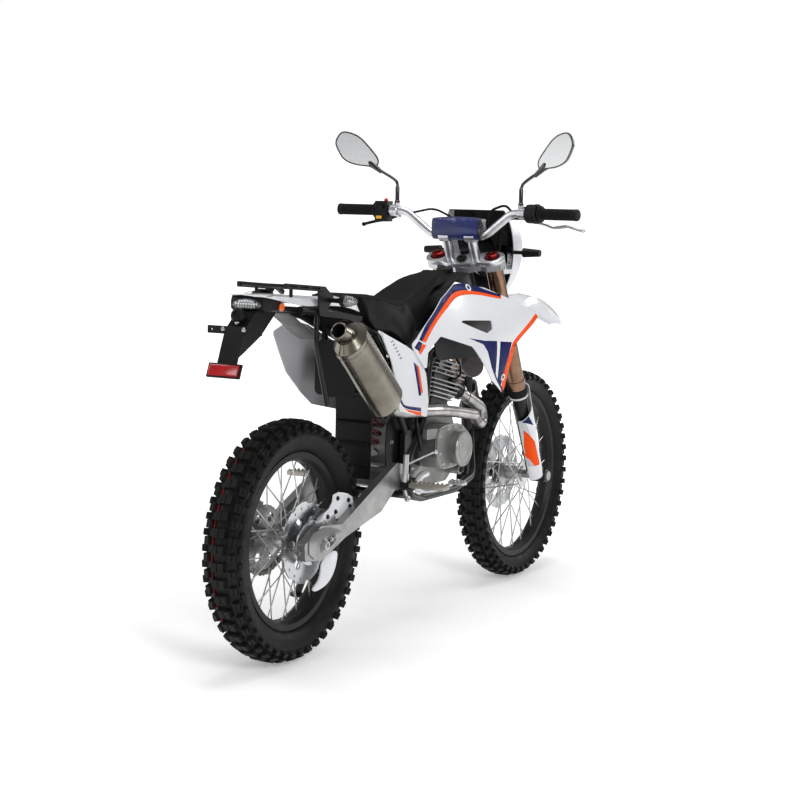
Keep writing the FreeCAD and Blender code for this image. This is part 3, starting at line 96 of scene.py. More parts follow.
SIDES = ((-1, "right"), (1, "left"))
RIGHTWARD, LEFTWARD, BACKWARD, UPWARD = (0, -1, 0), (0, 1, 0), (-1, 0, 0), (0, 0, 1)
print("leans", round(math.degrees(LEAN), 2), "degrees")

# %% [markdown]
# ## Camera
# The photograph is taken with a long lens from behind and to the right, a little above the seat.
# The numbers come from matching wheel rims and axles with the picture. The axes of the camera are
# worked out from its heading, its dip and its small roll, and leaned with the motorcycle.

# %% Camera
SENSOR_MM, FOCAL_PIXELS, PICTURE_PIXELS = 36, 1872.83, 800
CAMERA_PLACE = (-4.2509, -2.6665, 1.2624)
heading, dip, roll = (math.radians(angle) for angle in (28.6545, 6.1659, 1.339))
ahead = Vector((math.cos(heading) * math.cos(dip), math.sin(heading) * math.cos(dip), -math.sin(dip)))
right = ahead.cross(Vector((0, 0, 1))).normalized()
above = right.cross(ahead)
image_right = right * math.cos(roll) + above * math.sin(roll)
image_up = above * math.cos(roll) - right * math.sin(roll)
camera_data = bpy.data.cameras.new("camera")
camera = bpy.data.objects.new("camera", camera_data)
bpy.context.scene.collection.objects.link(camera)
camera_data.sensor_width = SENSOR_MM
camera_data.lens = SENSOR_MM * FOCAL_PIXELS / PICTURE_PIXELS
camera_data.clip_end = 60
facing = Matrix((image_right, image_up, -ahead)).transposed().to_4x4()
camera.matrix_world = leaned @ Matrix.Translation(CAMERA_PLACE) @ facing
bpy.context.scene.camera = camera
print("lens", round(camera_data.lens, 1), "mm")

# %% [markdown]
# ## Floor and light
# A studio picture has no horizon: the floor is a wide sheet that glows whiter with distance until
# it meets the white world. Soft round lights give long, gentle highlights. The world is white to the
# camera and dimmer to everything else, so that dark parts keep their contrast.

# %% Floor and light


def nothing_selected():
    if bpy.context.object and bpy.context.object.mode != "OBJECT":
        bpy.ops.object.mode_set(mode="OBJECT")
    bpy.ops.object.select_all(action="DESELECT")


def plain_material(name, colour, rough):
    material = bpy.data.materials.new(name)
    material.use_nodes = True
    shader = material.node_tree.nodes["Principled BSDF"]
    shader.inputs["Base Color"].default_value = (*colour, 1)
    shader.inputs["Roughness"].default_value = rough
    return material


FLOOR_SIZE, GLOW_NEAR, GLOW_FAR = 60, 0.9, 3.6
nothing_selected()
bpy.ops.mesh.primitive_plane_add(size=FLOOR_SIZE, location=(0, 0, 0))
floor = bpy.context.object
floor.name = "floor"
floor.data.materials.append(plain_material("studio_floor", (0.90, 0.90, 0.90), 0.6))
floor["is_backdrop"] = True


def ramp(tree, value, low, high, from_value=0.0, to_value=1.0):
    """A Map Range node: low to high becomes from_value to to_value."""
    node = tree.nodes.new("ShaderNodeMapRange")
    tree.links.new(value, node.inputs["Value"])
    limits = {"From Min": low, "From Max": high, "To Min": from_value, "To Max": to_value}
    for label, number in limits.items():
        node.inputs[label].default_value = number
    return node.outputs["Result"]


def far_glow(material):
    """The floor brightens to plain white a few metres away, so it meets the pale world unseen."""
    tree = material.node_tree
    shader = tree.nodes["Principled BSDF"]
    place = tree.nodes.new("ShaderNodeTexCoord")
    reach = tree.nodes.new("ShaderNodeVectorMath")
    reach.operation = "LENGTH"
    tree.links.new(place.outputs["Object"], reach.inputs[0])
    shader.inputs["Emission Color"].default_value = (1, 1, 1, 1)
    glow = ramp(tree, reach.outputs["Value"], GLOW_NEAR, GLOW_FAR, 0.30, 1.0)
    tree.links.new(glow, shader.inputs["Emission Strength"])


far_glow(floor.data.materials[0])


def soft_light(name, place, aim, size, power):
    data = bpy.data.lights.new(name, "AREA")
    data.shape, data.size, data.energy = "DISK", size, power
    lamp = bpy.data.objects.new(name, data)
    bpy.context.scene.collection.objects.link(lamp)
    lamp.location = place
    lamp.rotation_euler = (Vector(aim) - Vector(place)).to_track_quat("-Z", "Y").to_euler()


soft_light("key", (-2.6, -3.4, 3.2), (0, 0, 0.6), 2.0, 92)
soft_light("top", (0.2, 0.3, 4.2), (0, 0, 0.6), 2.6, 84)
soft_light("left", (-2.4, 3.6, 2.4), (0, 0, 0.7), 2.2, 42)
soft_light("front", (4.4, -1.6, 2.4), (0.3, 0, 0.7), 2.0, 44)
world = bpy.data.worlds.new("studio")
bpy.context.scene.world = world
world.use_nodes = True
sky = world.node_tree.nodes["Background"]
sky.inputs["Color"].default_value = (1, 1, 1, 1)
light_path = world.node_tree.nodes.new("ShaderNodeLightPath")
WORLD_LIGHT, WORLD_SEEN = 0.26, 1.0
seen = ramp(world.node_tree, light_path.outputs["Is Camera Ray"], 0, 1, WORLD_LIGHT, WORLD_SEEN)
world.node_tree.links.new(seen, sky.inputs["Strength"])
bpy.context.scene.view_settings.view_transform = "Standard"
print("four soft lights")

# %% [markdown]
# ## Shared effects
# Grain, brushing, worn edges and dust come back in many finishes, so each is a node group with
# named inputs, built once. Every group reads Object coordinates, which stay with the piece in any
# view and any pose. The Bevel node finds edges: where it bends the normal away, the edge is worn.

# %% Node group helpers


def new_group(name, inputs, outputs):
    group = bpy.data.node_groups.new(name, "ShaderNodeTree")
    for label, value in inputs:
        socket = group.interface.new_socket(name=label, in_out="INPUT", socket_type="NodeSocketFloat")
        socket.default_value = value
    for label in outputs:
        group.interface.new_socket(name=label, in_out="OUTPUT", socket_type="NodeSocketFloat")
    return group, group.nodes.new("NodeGroupInput"), group.nodes.new("NodeGroupOutput")


def maths(tree, kind, first, second=None, third=None):
    """A Math node with its inputs set or linked."""
    node = tree.nodes.new("ShaderNodeMath")
    node.operation = kind
    for slot_number, value in enumerate((first, second, third)):
        if value is None:
            continue
        if isinstance(value, (int, float)):
            node.inputs[slot_number].default_value = value
        else:
            tree.links.new(value, node.inputs[slot_number])
    return node.outputs[0]


def place_on_bike(tree, scale=(1, 1, 1), centre=(0, 0, 0)):
    """Object coordinates, turned upright and measured from a point of the motorcycle."""
    source = tree.nodes.new("ShaderNodeTexCoord")
    stand = tree.nodes.new("ShaderNodeMapping")
    stand.inputs["Rotation"].default_value = (LEAN, 0, 0)
    stand.inputs["Location"].default_value = upright.translation - Vector(centre)
    tree.links.new(source.outputs["Object"], stand.inputs["Vector"])
    if tuple(scale) == (1, 1, 1):
        return stand.outputs["Vector"]
    stretch = tree.nodes.new("ShaderNodeMapping")
    stretch.inputs["Scale"].default_value = scale
    tree.links.new(stand.outputs["Vector"], stretch.inputs["Vector"])
    return stretch.outputs["Vector"]


def split_place(tree, place=None):
    """The X, Y and Z of the upright place, one by one."""
    parts = tree.nodes.new("ShaderNodeSeparateXYZ")
    tree.links.new(place or place_on_bike(tree), parts.inputs[0])
    return parts.outputs


def dot(tree, first, second):
    """How far two directions agree; the second is linked or given."""
    node = tree.nodes.new("ShaderNodeVectorMath")
    node.operation = "DOT_PRODUCT"
    tree.links.new(first, node.inputs[0])
    if isinstance(second, bpy.types.NodeSocket):
        tree.links.new(second, node.inputs[1])
    else:
        node.inputs[1].default_value = second
    return node.outputs["Value"]


def noise(tree, place, scale, detail=4.0, rough=0.55):
    node = tree.nodes.new("ShaderNodeTexNoise")
    node.inputs["Detail"].default_value = detail
    node.inputs["Roughness"].default_value = rough
    if isinstance(scale, (int, float)):
        node.inputs["Scale"].default_value = scale
    else:
        tree.links.new(scale, node.inputs["Scale"])
    tree.links.new(place, node.inputs["Vector"])
    return node.outputs["Fac"]


print("helpers ready")

# %% Grain, mottling, brushing, worn edges, dust
grain_group, grain_in, grain_out = new_group("fine_grain", [("Scale", 900.0)], ["Height", "Mottle"])
spot = place_on_bike(grain_group)
grain_group.links.new(noise(grain_group, spot, grain_in.outputs["Scale"], 3.0, 0.6),
    grain_out.inputs["Height"])
broad = maths(grain_group, "MULTIPLY", grain_in.outputs["Scale"], 0.02)
grain_group.links.new(noise(grain_group, spot, broad, 5.0, 0.6), grain_out.inputs["Mottle"])

brush_group, brush_in, brush_out = new_group("brushed_lines", [("Scale", 60.0)], ["Height"])
stretched = place_on_bike(brush_group, (0.04, 1, 1))
fine = maths(brush_group, "MULTIPLY", brush_in.outputs["Scale"], 12.0)
brush_group.links.new(noise(brush_group, stretched, fine, 3.0, 0.7), brush_out.inputs["Height"])

wear_group, wear_in, wear_out = new_group("worn_edges", [("Radius", 0.0015), ("Amount", 1.0)], ["Mask"])
soft_edge = wear_group.nodes.new("ShaderNodeBevel")
soft_edge.samples = 4
wear_group.links.new(wear_in.outputs["Radius"], soft_edge.inputs["Radius"])
surface = wear_group.nodes.new("ShaderNodeNewGeometry")
turned_by = dot(wear_group, soft_edge.outputs["Normal"], surface.outputs["Normal"])
edge_mask = ramp(wear_group, turned_by, 0.995, 0.86)
patches = ramp(wear_group, noise(wear_group, place_on_bike(wear_group), 55.0, 5.0, 0.65), 0.42, 0.62)
worn_mask = maths(wear_group, "MULTIPLY", edge_mask, patches)
wear_group.links.new(maths(wear_group, "MULTIPLY", worn_mask, wear_in.outputs["Amount"]),
    wear_out.inputs["Mask"])

dust_group, dust_in, dust_out = new_group("road_dust", [("Amount", 0.5), ("Height", 0.9)], ["Mask"])
dust_place = place_on_bike(dust_group)
depth = maths(dust_group, "SUBTRACT", dust_in.outputs["Height"], split_place(dust_group, dust_place)["Z"])
low_down = ramp(dust_group, depth, 0.0, 0.6)
clouds = ramp(dust_group, noise(dust_group, dust_place, 14.0, 6.0, 0.62), 0.40, 0.72)
dust_film = maths(dust_group, "MULTIPLY", maths(dust_group, "MULTIPLY", low_down, clouds),
    dust_in.outputs["Amount"])
dust_group.links.new(dust_film, dust_out.inputs["Mask"])
print("node groups", [group.name for group in bpy.data.node_groups])

# %% [markdown]
# ## The recipe of a finish
# A painted frame, a moulded cover and a cast case differ only in numbers: two close colours, how
# rough, how metallic, the size of the grain, how worn the edges are and how much dust has settled.
# One function builds that tree, so a new finish is one line.

# %% The recipe


def mix_colour(tree, mask, first, second):
    node = tree.nodes.new("ShaderNodeMix")
    node.data_type = "RGBA"
    tree.links.new(mask, node.inputs["Factor"])
    for label, value in (("A", first), ("B", second)):
        socket = next(s for s in node.inputs if s.name == label and s.type == "RGBA")
        if isinstance(value, tuple):
            socket.default_value = (*value, 1)
        else:
            tree.links.new(value, socket)
    return next(s for s in node.outputs if s.type == "RGBA")


def use_group(tree, group, output, **values):
    node = tree.nodes.new("ShaderNodeGroup")
    node.node_tree = group
    for label, value in values.items():
        node.inputs[label].default_value = value
    return node.outputs[output]


def blank(name):
    material = bpy.data.materials.new(name)
    material.use_nodes = True
    return material, material.node_tree, material.node_tree.nodes["Principled BSDF"]


def bump(tree, shader, height, strength, distance):
    node = tree.nodes.new("ShaderNodeBump")
    node.inputs["Strength"].default_value = strength
    node.inputs["Distance"].default_value = distance
    tree.links.new(height, node.inputs["Height"])
    tree.links.new(node.outputs["Normal"], shader.inputs["Normal"])


EDGE_RADIUS, DUST_COLOUR = 0.0015, (0.20, 0.185, 0.16)


def finish(name, colour, second, rough, metal=0.0, grain=900.0, depth=0.00006, worn=None, wear=0.6, dust=0.15,
        coat=0.0, brushed=False, shine=0.5):
    """A whole finish: two colours mottled together, grain, worn edges and dust."""
    material, tree, shader = blank(name)
    mottle = ramp(tree, use_group(tree, grain_group, "Mottle", Scale=grain), 0.35, 0.65)
    colours = mix_colour(tree, mottle, colour, second)
    roughness = ramp(tree, mottle, 0, 1, rough * 0.88, rough * 1.12)
    metallic = None
    if worn:
        mask = use_group(tree, wear_group, "Mask", Radius=EDGE_RADIUS, Amount=wear)
        colours = mix_colour(tree, mask, colours, worn)
        if metal < 0.5:
            metallic = maths(tree, "MULTIPLY", mask, 0.8)
    if dust:
        dusty = use_group(tree, dust_group, "Mask", Amount=dust)
        colours = mix_colour(tree, dusty, colours, DUST_COLOUR)
        roughness = maths(tree, "MULTIPLY_ADD", dusty, 0.35, roughness)
    tree.links.new(colours, shader.inputs["Base Color"])
    tree.links.new(roughness, shader.inputs["Roughness"])
    shader.inputs["Metallic"].default_value = metal
    shader.inputs["Specular IOR Level"].default_value = shine
    if metallic:
        tree.links.new(metallic, shader.inputs["Metallic"])
    if brushed:
        bump(tree, shader, use_group(tree, brush_group, "Height"), 0.25, 0.00005)
    else:
        bump(tree, shader, use_group(tree, grain_group, "Height", Scale=grain), 0.35, depth)
    if coat:
        shader.inputs["Coat Weight"].default_value = coat
        shader.inputs["Coat Roughness"].default_value = 0.04
    return material


finishes = {
    "rim": finish("rim_black", (0.0045, 0.0045, 0.005), (0.008, 0.008, 0.0085), 0.42, worn=(0.12, 0.12, 0.12),
        wear=0.3, dust=0.04, shine=0.22),
    "hub": finish("hub_cast", (0.56, 0.565, 0.57), (0.42, 0.425, 0.43), 0.27, 0.95, grain=700, dust=0.1),
    "steel": finish("plain_steel", (0.42, 0.41, 0.40), (0.26, 0.255, 0.25), 0.30, 0.95, dust=0.15),
    "black_metal": finish("frame_paint", (0.0045, 0.0045, 0.0048), (0.007, 0.007, 0.0073), 0.32,
        worn=(0.09, 0.09, 0.09), wear=0.5, dust=0.02, shine=0.25),
    "silver": finish("silver_alloy", (0.60, 0.61, 0.63), (0.50, 0.51, 0.53), 0.30, 0.9, grain=1300, dust=0.12,
        brushed=True),
    "gold": finish("bronze_anodised", (0.27, 0.160, 0.105), (0.19, 0.112, 0.072), 0.20, 0.95, grain=1500,
        dust=0.0, brushed=True),
    "white": finish("white_gloss", (0.70, 0.71, 0.74), (0.66, 0.67, 0.70), 0.24, depth=0.00002, grain=500,
        dust=0.05, coat=0.3),
    "black_plastic": finish("moulded_black", (0.0045, 0.0045, 0.0047), (0.007, 0.007, 0.0073), 0.46,
        depth=0.00012, worn=(0.03, 0.03, 0.03), dust=0.02, shine=0.16),
    "rubber": finish("black_rubber", (0.0045, 0.0045, 0.0045), (0.007, 0.007, 0.007), 0.60, depth=0.0001,
        worn=(0.02, 0.02, 0.02), dust=0.02, shine=0.15),
    "engine": finish("cast_cases", (0.26, 0.26, 0.25), (0.19, 0.19, 0.182), 0.42, 0.6, grain=1100,
        depth=0.00025, worn=(0.66, 0.66, 0.65), dust=0.08),
    "muffler": finish("warm_steel", (0.29, 0.268, 0.222), (0.145, 0.133, 0.110), 0.22, 0.97, grain=220,
        dust=0.0, brushed=True),
    "spring": finish("spring_paint", (0.085, 0.006, 0.005), (0.05, 0.004, 0.004), 0.4, dust=0.1, shine=0.3),
    "mirror": finish("gloss_black", (0.01, 0.01, 0.011), (0.014, 0.014, 0.015), 0.18, depth=0.00003,
        dust=0.04, coat=0.4),
    "seat": finish("seat_cover", (0.0035, 0.0035, 0.0035), (0.0055, 0.0055, 0.0054), 0.66, depth=0.0003,
        grain=420, dust=0.0, shine=0.10),
    "lens_red": finish("red_reflector", (0.42, 0.008, 0.010), (0.30, 0.005, 0.007), 0.16, depth=0.0002,
        grain=260, dust=0.0, coat=0.3),
    "horn": finish("horn_shell", (0.14, 0.118, 0.130), (0.10, 0.084, 0.094), 0.5, dust=0.05, shine=0.3),
}
print("finishes", len(finishes))

# %% [markdown]
# ## Finishes that need their own tree
# A disc is ground in circles round the axle, so its lines follow the distance from the wheel's
# centre. The cylinder's fins are painted black and machined bright on their rims, so the mask is
# how square a face stands to the cylinder. Lenses are glass-like shells with moulded ribs.

# %% Discs and fins


def ground_disc(name, centre):
    material, tree, shader = blank(name)
    middle = place_on_bike(tree, (1, 0, 1), centre)
    distance = tree.nodes.new("ShaderNodeVectorMath")
    distance.operation = "LENGTH"
    tree.links.new(middle, distance.inputs[0])
    rings = tree.nodes.new("ShaderNodeTexNoise")
    rings.noise_dimensions = "1D"
    rings.inputs["Scale"].default_value = 2200.0
    tree.links.new(distance.outputs["Value"], rings.inputs["W"])
    colours = mix_colour(tree, rings.outputs["Fac"], (0.62, 0.63, 0.64), (0.42, 0.43, 0.44))
    tree.links.new(colours, shader.inputs["Base Color"])
    tree.links.new(ramp(tree, rings.outputs["Fac"], 0, 1, 0.18, 0.34), shader.inputs["Roughness"])
    shader.inputs["Metallic"].default_value = 1.0
    bump(tree, shader, rings.outputs["Fac"], 0.3, 0.00003)
    return material


def bright_rims():
    material, tree, shader = blank("fins_black")
    faces = tree.nodes.new("ShaderNodeTexCoord")
    square = maths(tree, "ABSOLUTE", dot(tree, faces.outputs["Normal"], leaned.to_3x3() @ Vector(UPWARD)))
    rim_mask = maths(tree, "SUBTRACT", 1.0, ramp(tree, square, 0.05, 0.3))
    outer = maths(tree, "ABSOLUTE", split_place(tree)["Y"])
    rim_mask = maths(tree, "MULTIPLY", rim_mask, ramp(tree, outer, 0.0555, 0.0565, 0.16, 1.0))
    grainy = use_group(tree, grain_group, "Mottle", Scale=1400.0)
    mask = maths(tree, "MULTIPLY", rim_mask, ramp(tree, grainy, 0.3, 0.45, 0.75, 1.0))
    colours = mix_colour(tree, mask, (0.007, 0.007, 0.0075), (0.42, 0.42, 0.42))
    tree.links.new(colours, shader.inputs["Base Color"])
    tree.links.new(maths(tree, "MULTIPLY", mask, 0.9), shader.inputs["Metallic"])
    tree.links.new(ramp(tree, mask, 0, 1, 0.5, 0.28), shader.inputs["Roughness"])
    bump(tree, shader, use_group(tree, grain_group, "Height", Scale=1200.0), 0.4, 0.0001)
    return material


print("disc and fin recipes ready")

# %% Tyres, lenses and mirror glass


def tyre_rubber():
    material, tree, shader = blank("tyre_rubber")
    mottle = use_group(tree, grain_group, "Mottle", Scale=1500.0)
    colours = mix_colour(tree, ramp(tree, mottle, 0.35, 0.65), (0.0045, 0.0045, 0.0045),
        (0.009, 0.0088, 0.0084))
    dusty = use_group(tree, dust_group, "Mask", Amount=0.07)
    colours = mix_colour(tree, dusty, colours, (0.10, 0.095, 0.085))
    edges = use_group(tree, wear_group, "Mask", Radius=0.002, Amount=0.5)
    colours = mix_colour(tree, edges, colours, (0.032, 0.032, 0.031))
    tree.links.new(colours, shader.inputs["Base Color"])
    tree.links.new(ramp(tree, mottle, 0.3, 0.7, 0.42, 0.60), shader.inputs["Roughness"])
    shader.inputs["Specular IOR Level"].default_value = 0.14
    bump(tree, shader, use_group(tree, grain_group, "Height", Scale=1100.0), 0.5, 0.0002)
    return material


def lens(name, colour, rib):
    """A clear moulded lens with fine ribs."""
    material, tree, shader = blank(name)
    shader.inputs["Transmission Weight"].default_value = 0.92
    shader.inputs["IOR"].default_value = 1.49
    ribs = tree.nodes.new("ShaderNodeTexWave")
    ribs.inputs["Scale"].default_value = rib
    ribs.bands_direction = "Y"
    tree.links.new(place_on_bike(tree), ribs.inputs["Vector"])
    tint = mix_colour(tree, ribs.outputs["Fac"], colour, tuple(c * 0.92 for c in colour))
    tree.links.new(tint, shader.inputs["Base Color"])
    tree.links.new(ramp(tree, use_group(tree, grain_group, "Mottle", Scale=300.0), 0, 1, 0.03, 0.1),
        shader.inputs["Roughness"])
    bump(tree, shader, ribs.outputs["Fac"], 0.35, 0.0004)
    return material


def mirror_painted_reflection():
    material, tree, shader = blank("mirror_glass_painted_reflection")
    smear = use_group(tree, grain_group, "Mottle", Scale=260.0)
    heights = split_place(tree)
    # Painted reflection: the base colour runs from pale at the bottom to darker at the top, in place of what the
    # glass would mirror. The mottled smears are marks on the glass.
    pale = mix_colour(tree, ramp(tree, heights["Z"], 1.36, 1.47), (0.74, 0.75, 0.76), (0.56, 0.57, 0.58))
    tree.links.new(mix_colour(tree, ramp(tree, smear, 0.3, 0.7, 0.0, 0.10), pale, (0.50, 0.51, 0.52)),
        shader.inputs["Base Color"])
    tree.links.new(ramp(tree, smear, 0.3, 0.8, 0.04, 0.12), shader.inputs["Roughness"])
    shader.inputs["Metallic"].default_value = 0.25
    return material


finishes["tyre"], finishes["fins"] = tyre_rubber(), bright_rims()
finishes["lens_clear"] = lens("clear_lens", (0.95, 0.96, 0.97), 260.0)
rear_disc_finish = ground_disc("rear_disc_ground", REAR_AXLE)
front_disc_finish = ground_disc("front_disc_ground", FRONT_AXLE)
mirror_glass_painted_reflection = mirror_painted_reflection()
print("special finishes made")

# %% [markdown]
# ## Finishes on the CAD nodes
# The record names a material slot for each node, and most nodes simply take the finish of their
# slot. A few take another, because the slot is shared with pieces that look different close up.

# %% Dress the nodes
slots = {entry["node"]: entry["material_slot"] for entry in frame["record"]["subparts"]}
for name, node in nodes.items():
    material = finishes.get(slots[name])
    if name == "rear_disc":
        material = rear_disc_finish
    if name == "front_disc":
        material = front_disc_finish
    if material:
        node.material_slots[0].material = material
print("dressed", len(nodes), "nodes")

# %% [markdown]
# ## Modelling helpers
# Blender's operators act on what is selected, so each helper starts with nothing selected. A turned
# piece starts as one point, which is extruded along its profile and spun round an axis. Faces are
# picked by their place or the way they look. `settle` leans a finished piece over with the
# motorcycle, gives it its finish, and lets it ride on its body.

# %% Selecting and editing


def only(obj):
    nothing_selected()
    obj.select_set(True)
    bpy.context.view_layer.objects.active = obj
    return obj


def edit(obj):
    only(obj)
    bpy.ops.object.mode_set(mode="EDIT")
    bpy.ops.mesh.select_mode(type="FACE")
    bpy.ops.mesh.select_all(action="DESELECT")


def done():
    bpy.ops.object.mode_set(mode="OBJECT")


def pick(obj, test, kind="faces"):
    """Selects the faces or edges of the mesh in edit mode that pass a test of middle and normal."""
    mesh = bmesh.from_edit_mesh(obj.data)
    for part in (mesh.faces if kind == "faces" else mesh.edges):
        if kind == "faces":
            passed = test(part.calc_center_median(), part.normal)
        else:
            passed = test((part.verts[0].co + part.verts[1].co) / 2, part.verts[1].co - part.verts[0].co)
        part.select_set(bool(passed))
    bmesh.update_edit_mesh(obj.data)


def shade(obj, degrees):
    """Smooth shading, apart from edges sharper than an angle."""
    only(obj)
    bpy.ops.object.shade_smooth_by_angle(angle=math.radians(degrees))
    return obj


def tidy(obj, smooth=35):
    edit(obj)
    bpy.ops.mesh.select_all(action="SELECT")
    bpy.ops.mesh.remove_doubles(threshold=0.00001)
    bpy.ops.mesh.normals_make_consistent(inside=False)
    done()
    return shade(obj, smooth) if smooth else obj


def extrude(x, y, z):
    bpy.ops.mesh.extrude_region_move(TRANSFORM_OT_translate={"value": (x, y, z)})


def one_point(name, x, y, z):
    """A new object in edit mode that holds a single, selected point."""
    nothing_selected()
    bpy.ops.mesh.primitive_plane_add(size=0.001)
    obj = bpy.context.object
    obj.name = name
    bpy.ops.object.mode_set(mode="EDIT")
    bpy.ops.mesh.select_mode(type="VERT")
    bpy.ops.mesh.select_all(action="SELECT")
    bpy.ops.mesh.merge(type="CENTER")
    bpy.ops.mesh.select_all(action="SELECT")
    bpy.ops.transform.translate(value=(x, y, z))
    return obj


print("selecting ready")

# %% Turned pieces and boxes


def lathe(name, profile, steps=32, smooth=35, closed=False):
    """A turned piece: radius and height pairs spun round Z at the origin."""
    r, z = profile[0]
    obj = one_point(name, r, 0, z)
    for after in profile[1:] + (profile[:1] if closed else []):
        extrude(after[0] - r, 0, after[1] - z)
        r, z = after
    bpy.ops.mesh.select_all(action="SELECT")
    bpy.ops.mesh.spin(steps=steps, angle=2 * math.pi, center=(0, 0, 0), axis=(0, 0, 1))
    done()
    return tidy(obj, smooth=smooth)


def turned(name, profile, steps=32, smooth=35, closed=False):
    """A turned piece with its profile in millimetres."""
    return lathe(name, [(r / 1000, z / 1000) for r, z in profile], steps, smooth, closed)


def angles(count):
    """Equal steps round a whole turn."""
    return [math.tau * n / count for n in range(count)]


def cube(middle, size):
    """A box with its size applied."""
    nothing_selected()
    bpy.ops.mesh.primitive_cube_add(size=1, location=middle, scale=size)
    bpy.ops.object.transform_apply(location=True, rotation=True, scale=True)
    return bpy.context.object


print("turning ready")

# %% Placing, copying and settling


def aim(place, direction, twist=0.0):
    """A matrix that carries a piece modelled along Z to a place, looking in a direction."""
    turn = Vector(direction).to_track_quat("Z", "Y").to_matrix().to_4x4()
    return Matrix.Translation(Vector(place)) @ turn @ Matrix.Rotation(twist, 4, "Z")


def move(obj, matrix):
    obj.data.transform(matrix)
    if matrix.determinant() < 0:
        obj.data.flip_normals()
    return obj


def joined(objs, name):
    nothing_selected()
    for obj in objs:
        obj.select_set(True)
    bpy.context.view_layer.objects.active = objs[0]
    if len(objs) > 1:
        bpy.ops.object.join()
    objs[0].name = name
    return objs[0]


def spread(model, places, name):
    """Copies of one modelled piece at every place, each with its own mesh, joined; the model goes."""
    copies = []
    for matrix in places:
        copy = model.copy()
        copy.data = model.data.copy()
        bpy.context.scene.collection.objects.link(copy)
        copies.append(move(copy, matrix))
    bpy.data.objects.remove(model)
    return joined(copies, name)


def settle(obj, body, material):
    """Leans a finished piece over with the motorcycle and lets it ride."""
    only(obj)
    bpy.ops.object.transform_apply(location=True, rotation=True, scale=True)
    move(obj, leaned)
    obj.data.materials.clear()
    obj.data.materials.append(material)
    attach(obj, body)
    return obj


def dress(obj, slot, body="chassis"):
    """Settles a piece in the finish that its material slot names."""
    return settle(obj, body, finishes[slot])


print("placing ready")

# %% Modifiers and domes


def apply_modifier(obj, kind, **values):
    only(obj)
    modifier = obj.modifiers.new(kind.lower(), kind)
    for key, value in values.items():
        setattr(modifier, key, value)
    bpy.ops.object.modifier_apply(modifier=modifier.name)
    return obj


def bevel(obj, width, segments=2, degrees=40):
    """Rounds the edges sharper than an angle."""
    return apply_modifier(obj, "BEVEL", width=width, segments=segments, limit_method="ANGLE",
        angle_limit=math.radians(degrees))


def dome(obj, steps, x, y, z):
    """Pushes a flat outline out along one axis, drawn in a little at each step."""
    edit(obj)
    bpy.ops.mesh.select_all(action="SELECT")
    for reach, share in steps:
        extrude(x * reach, y * reach, z * reach)
        if share < 1:
            bpy.ops.transform.resize(value=[1 if part else share for part in (x, y, z)])
    done()
    return obj


print("modelling helpers ready")

# %% [markdown]
# ## Knobbly tyres
# An off-road tyre is a round carcass with rubber blocks moulded on it. A bump map would leave the
# outline smooth, so every block is real. One block is cut from a cube, given sloping sides and a
# groove, and copied round the wheel: a wide one in the middle, a pair at the shoulders half a step
# on, and a small knob on each side wall.

# %% Tread blocks and the carcass


def tread_block(length, width, height, groove):
    """A block with its foot at the origin: length along X, width along Y, height along Z."""
    obj = cube((0, 0, height / 2), (length, width, height))
    edit(obj)
    pick(obj, lambda c, n: n.z > 0.9)
    bpy.ops.transform.resize(value=(0.84, 0.88, 1))
    if groove:
        for side in (-1, 1):
            bpy.ops.mesh.select_all(action="SELECT")
            bpy.ops.mesh.bisect(plane_co=(0, side * groove, 0), plane_no=(0, 1, 0))
        pick(obj, lambda c, n: n.z > 0.9 and abs(c.y) < groove)
        extrude(0, 0, -height * 0.3)
    pick(obj, lambda c, n: n.z < -0.9)
    bpy.ops.mesh.delete(type="FACE")
    done()
    return shade(bevel(obj, 0.0009, 1), 30)


def crown(y, half, radius, lug):
    """How far the carcass stands from the axle, a distance y from the middle."""
    return radius - lug - (1 - math.sqrt(1 - (0.80 * y / half) ** 2)) * half * 0.9


def tyre(name, centre, radius, width, rim_radius, rim_width, steps, rows, body):
    """A carcass and its rows of blocks, turned about the Y axis through its centre."""
    half, lug = width / 2, 0.013
    seat = rim_radius - 0.0115
    inner = rim_width / 2 - 0.0045
    wall = [(seat, inner), (rim_radius + 0.003, inner), (rim_radius + 0.006, inner + 0.006),
        (rim_radius + 0.012, half * 0.74), (rim_radius + 0.026, half * 0.88),
        ((rim_radius + 0.026 + crown(half * 0.98, half, radius, lug)) / 2, half * 0.965)]
    top = [(crown(half * share, half, radius, lug), half * share)
        for share in (0.98, 0.84, 0.66, 0.46, 0.24, 0)]
    profile = wall + top
    profile += [(r, -y) for r, y in reversed(profile[:-1])]
    carcass = lathe(name, profile, steps=96, smooth=60, closed=True)
    move(carcass, Matrix.Rotation(-math.pi / 2, 4, "X"))
    parts = [carcass]
    for middle, length, breadth, height, slope, shift, groove in rows:
        knob = tread_block(length, breadth, height, groove)
        places = []
        for index in range(steps):
            for side in ((-1, 1) if middle else (1,)):
                step = index + shift + (0.0 if side > 0 else 0.06)
                spin = Matrix.Rotation(math.tau * step / steps, 4, "Y")
                foot = crown(min(middle, half * 0.98), half, radius, lug) - 0.002
                lay = Matrix.Translation((0, side * middle, foot)) @ Matrix.Rotation(-side * slope, 4, "X")
                places.append(spin @ lay)
        parts.append(spread(knob, places, name + "_blocks"))
    whole = joined(parts, name)
    move(whole, Matrix.Translation(centre))
    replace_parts(dress(whole, "tyre", body), name.replace("_knobbly", ""))
    print(name, len(whole.data.polygons), "faces")


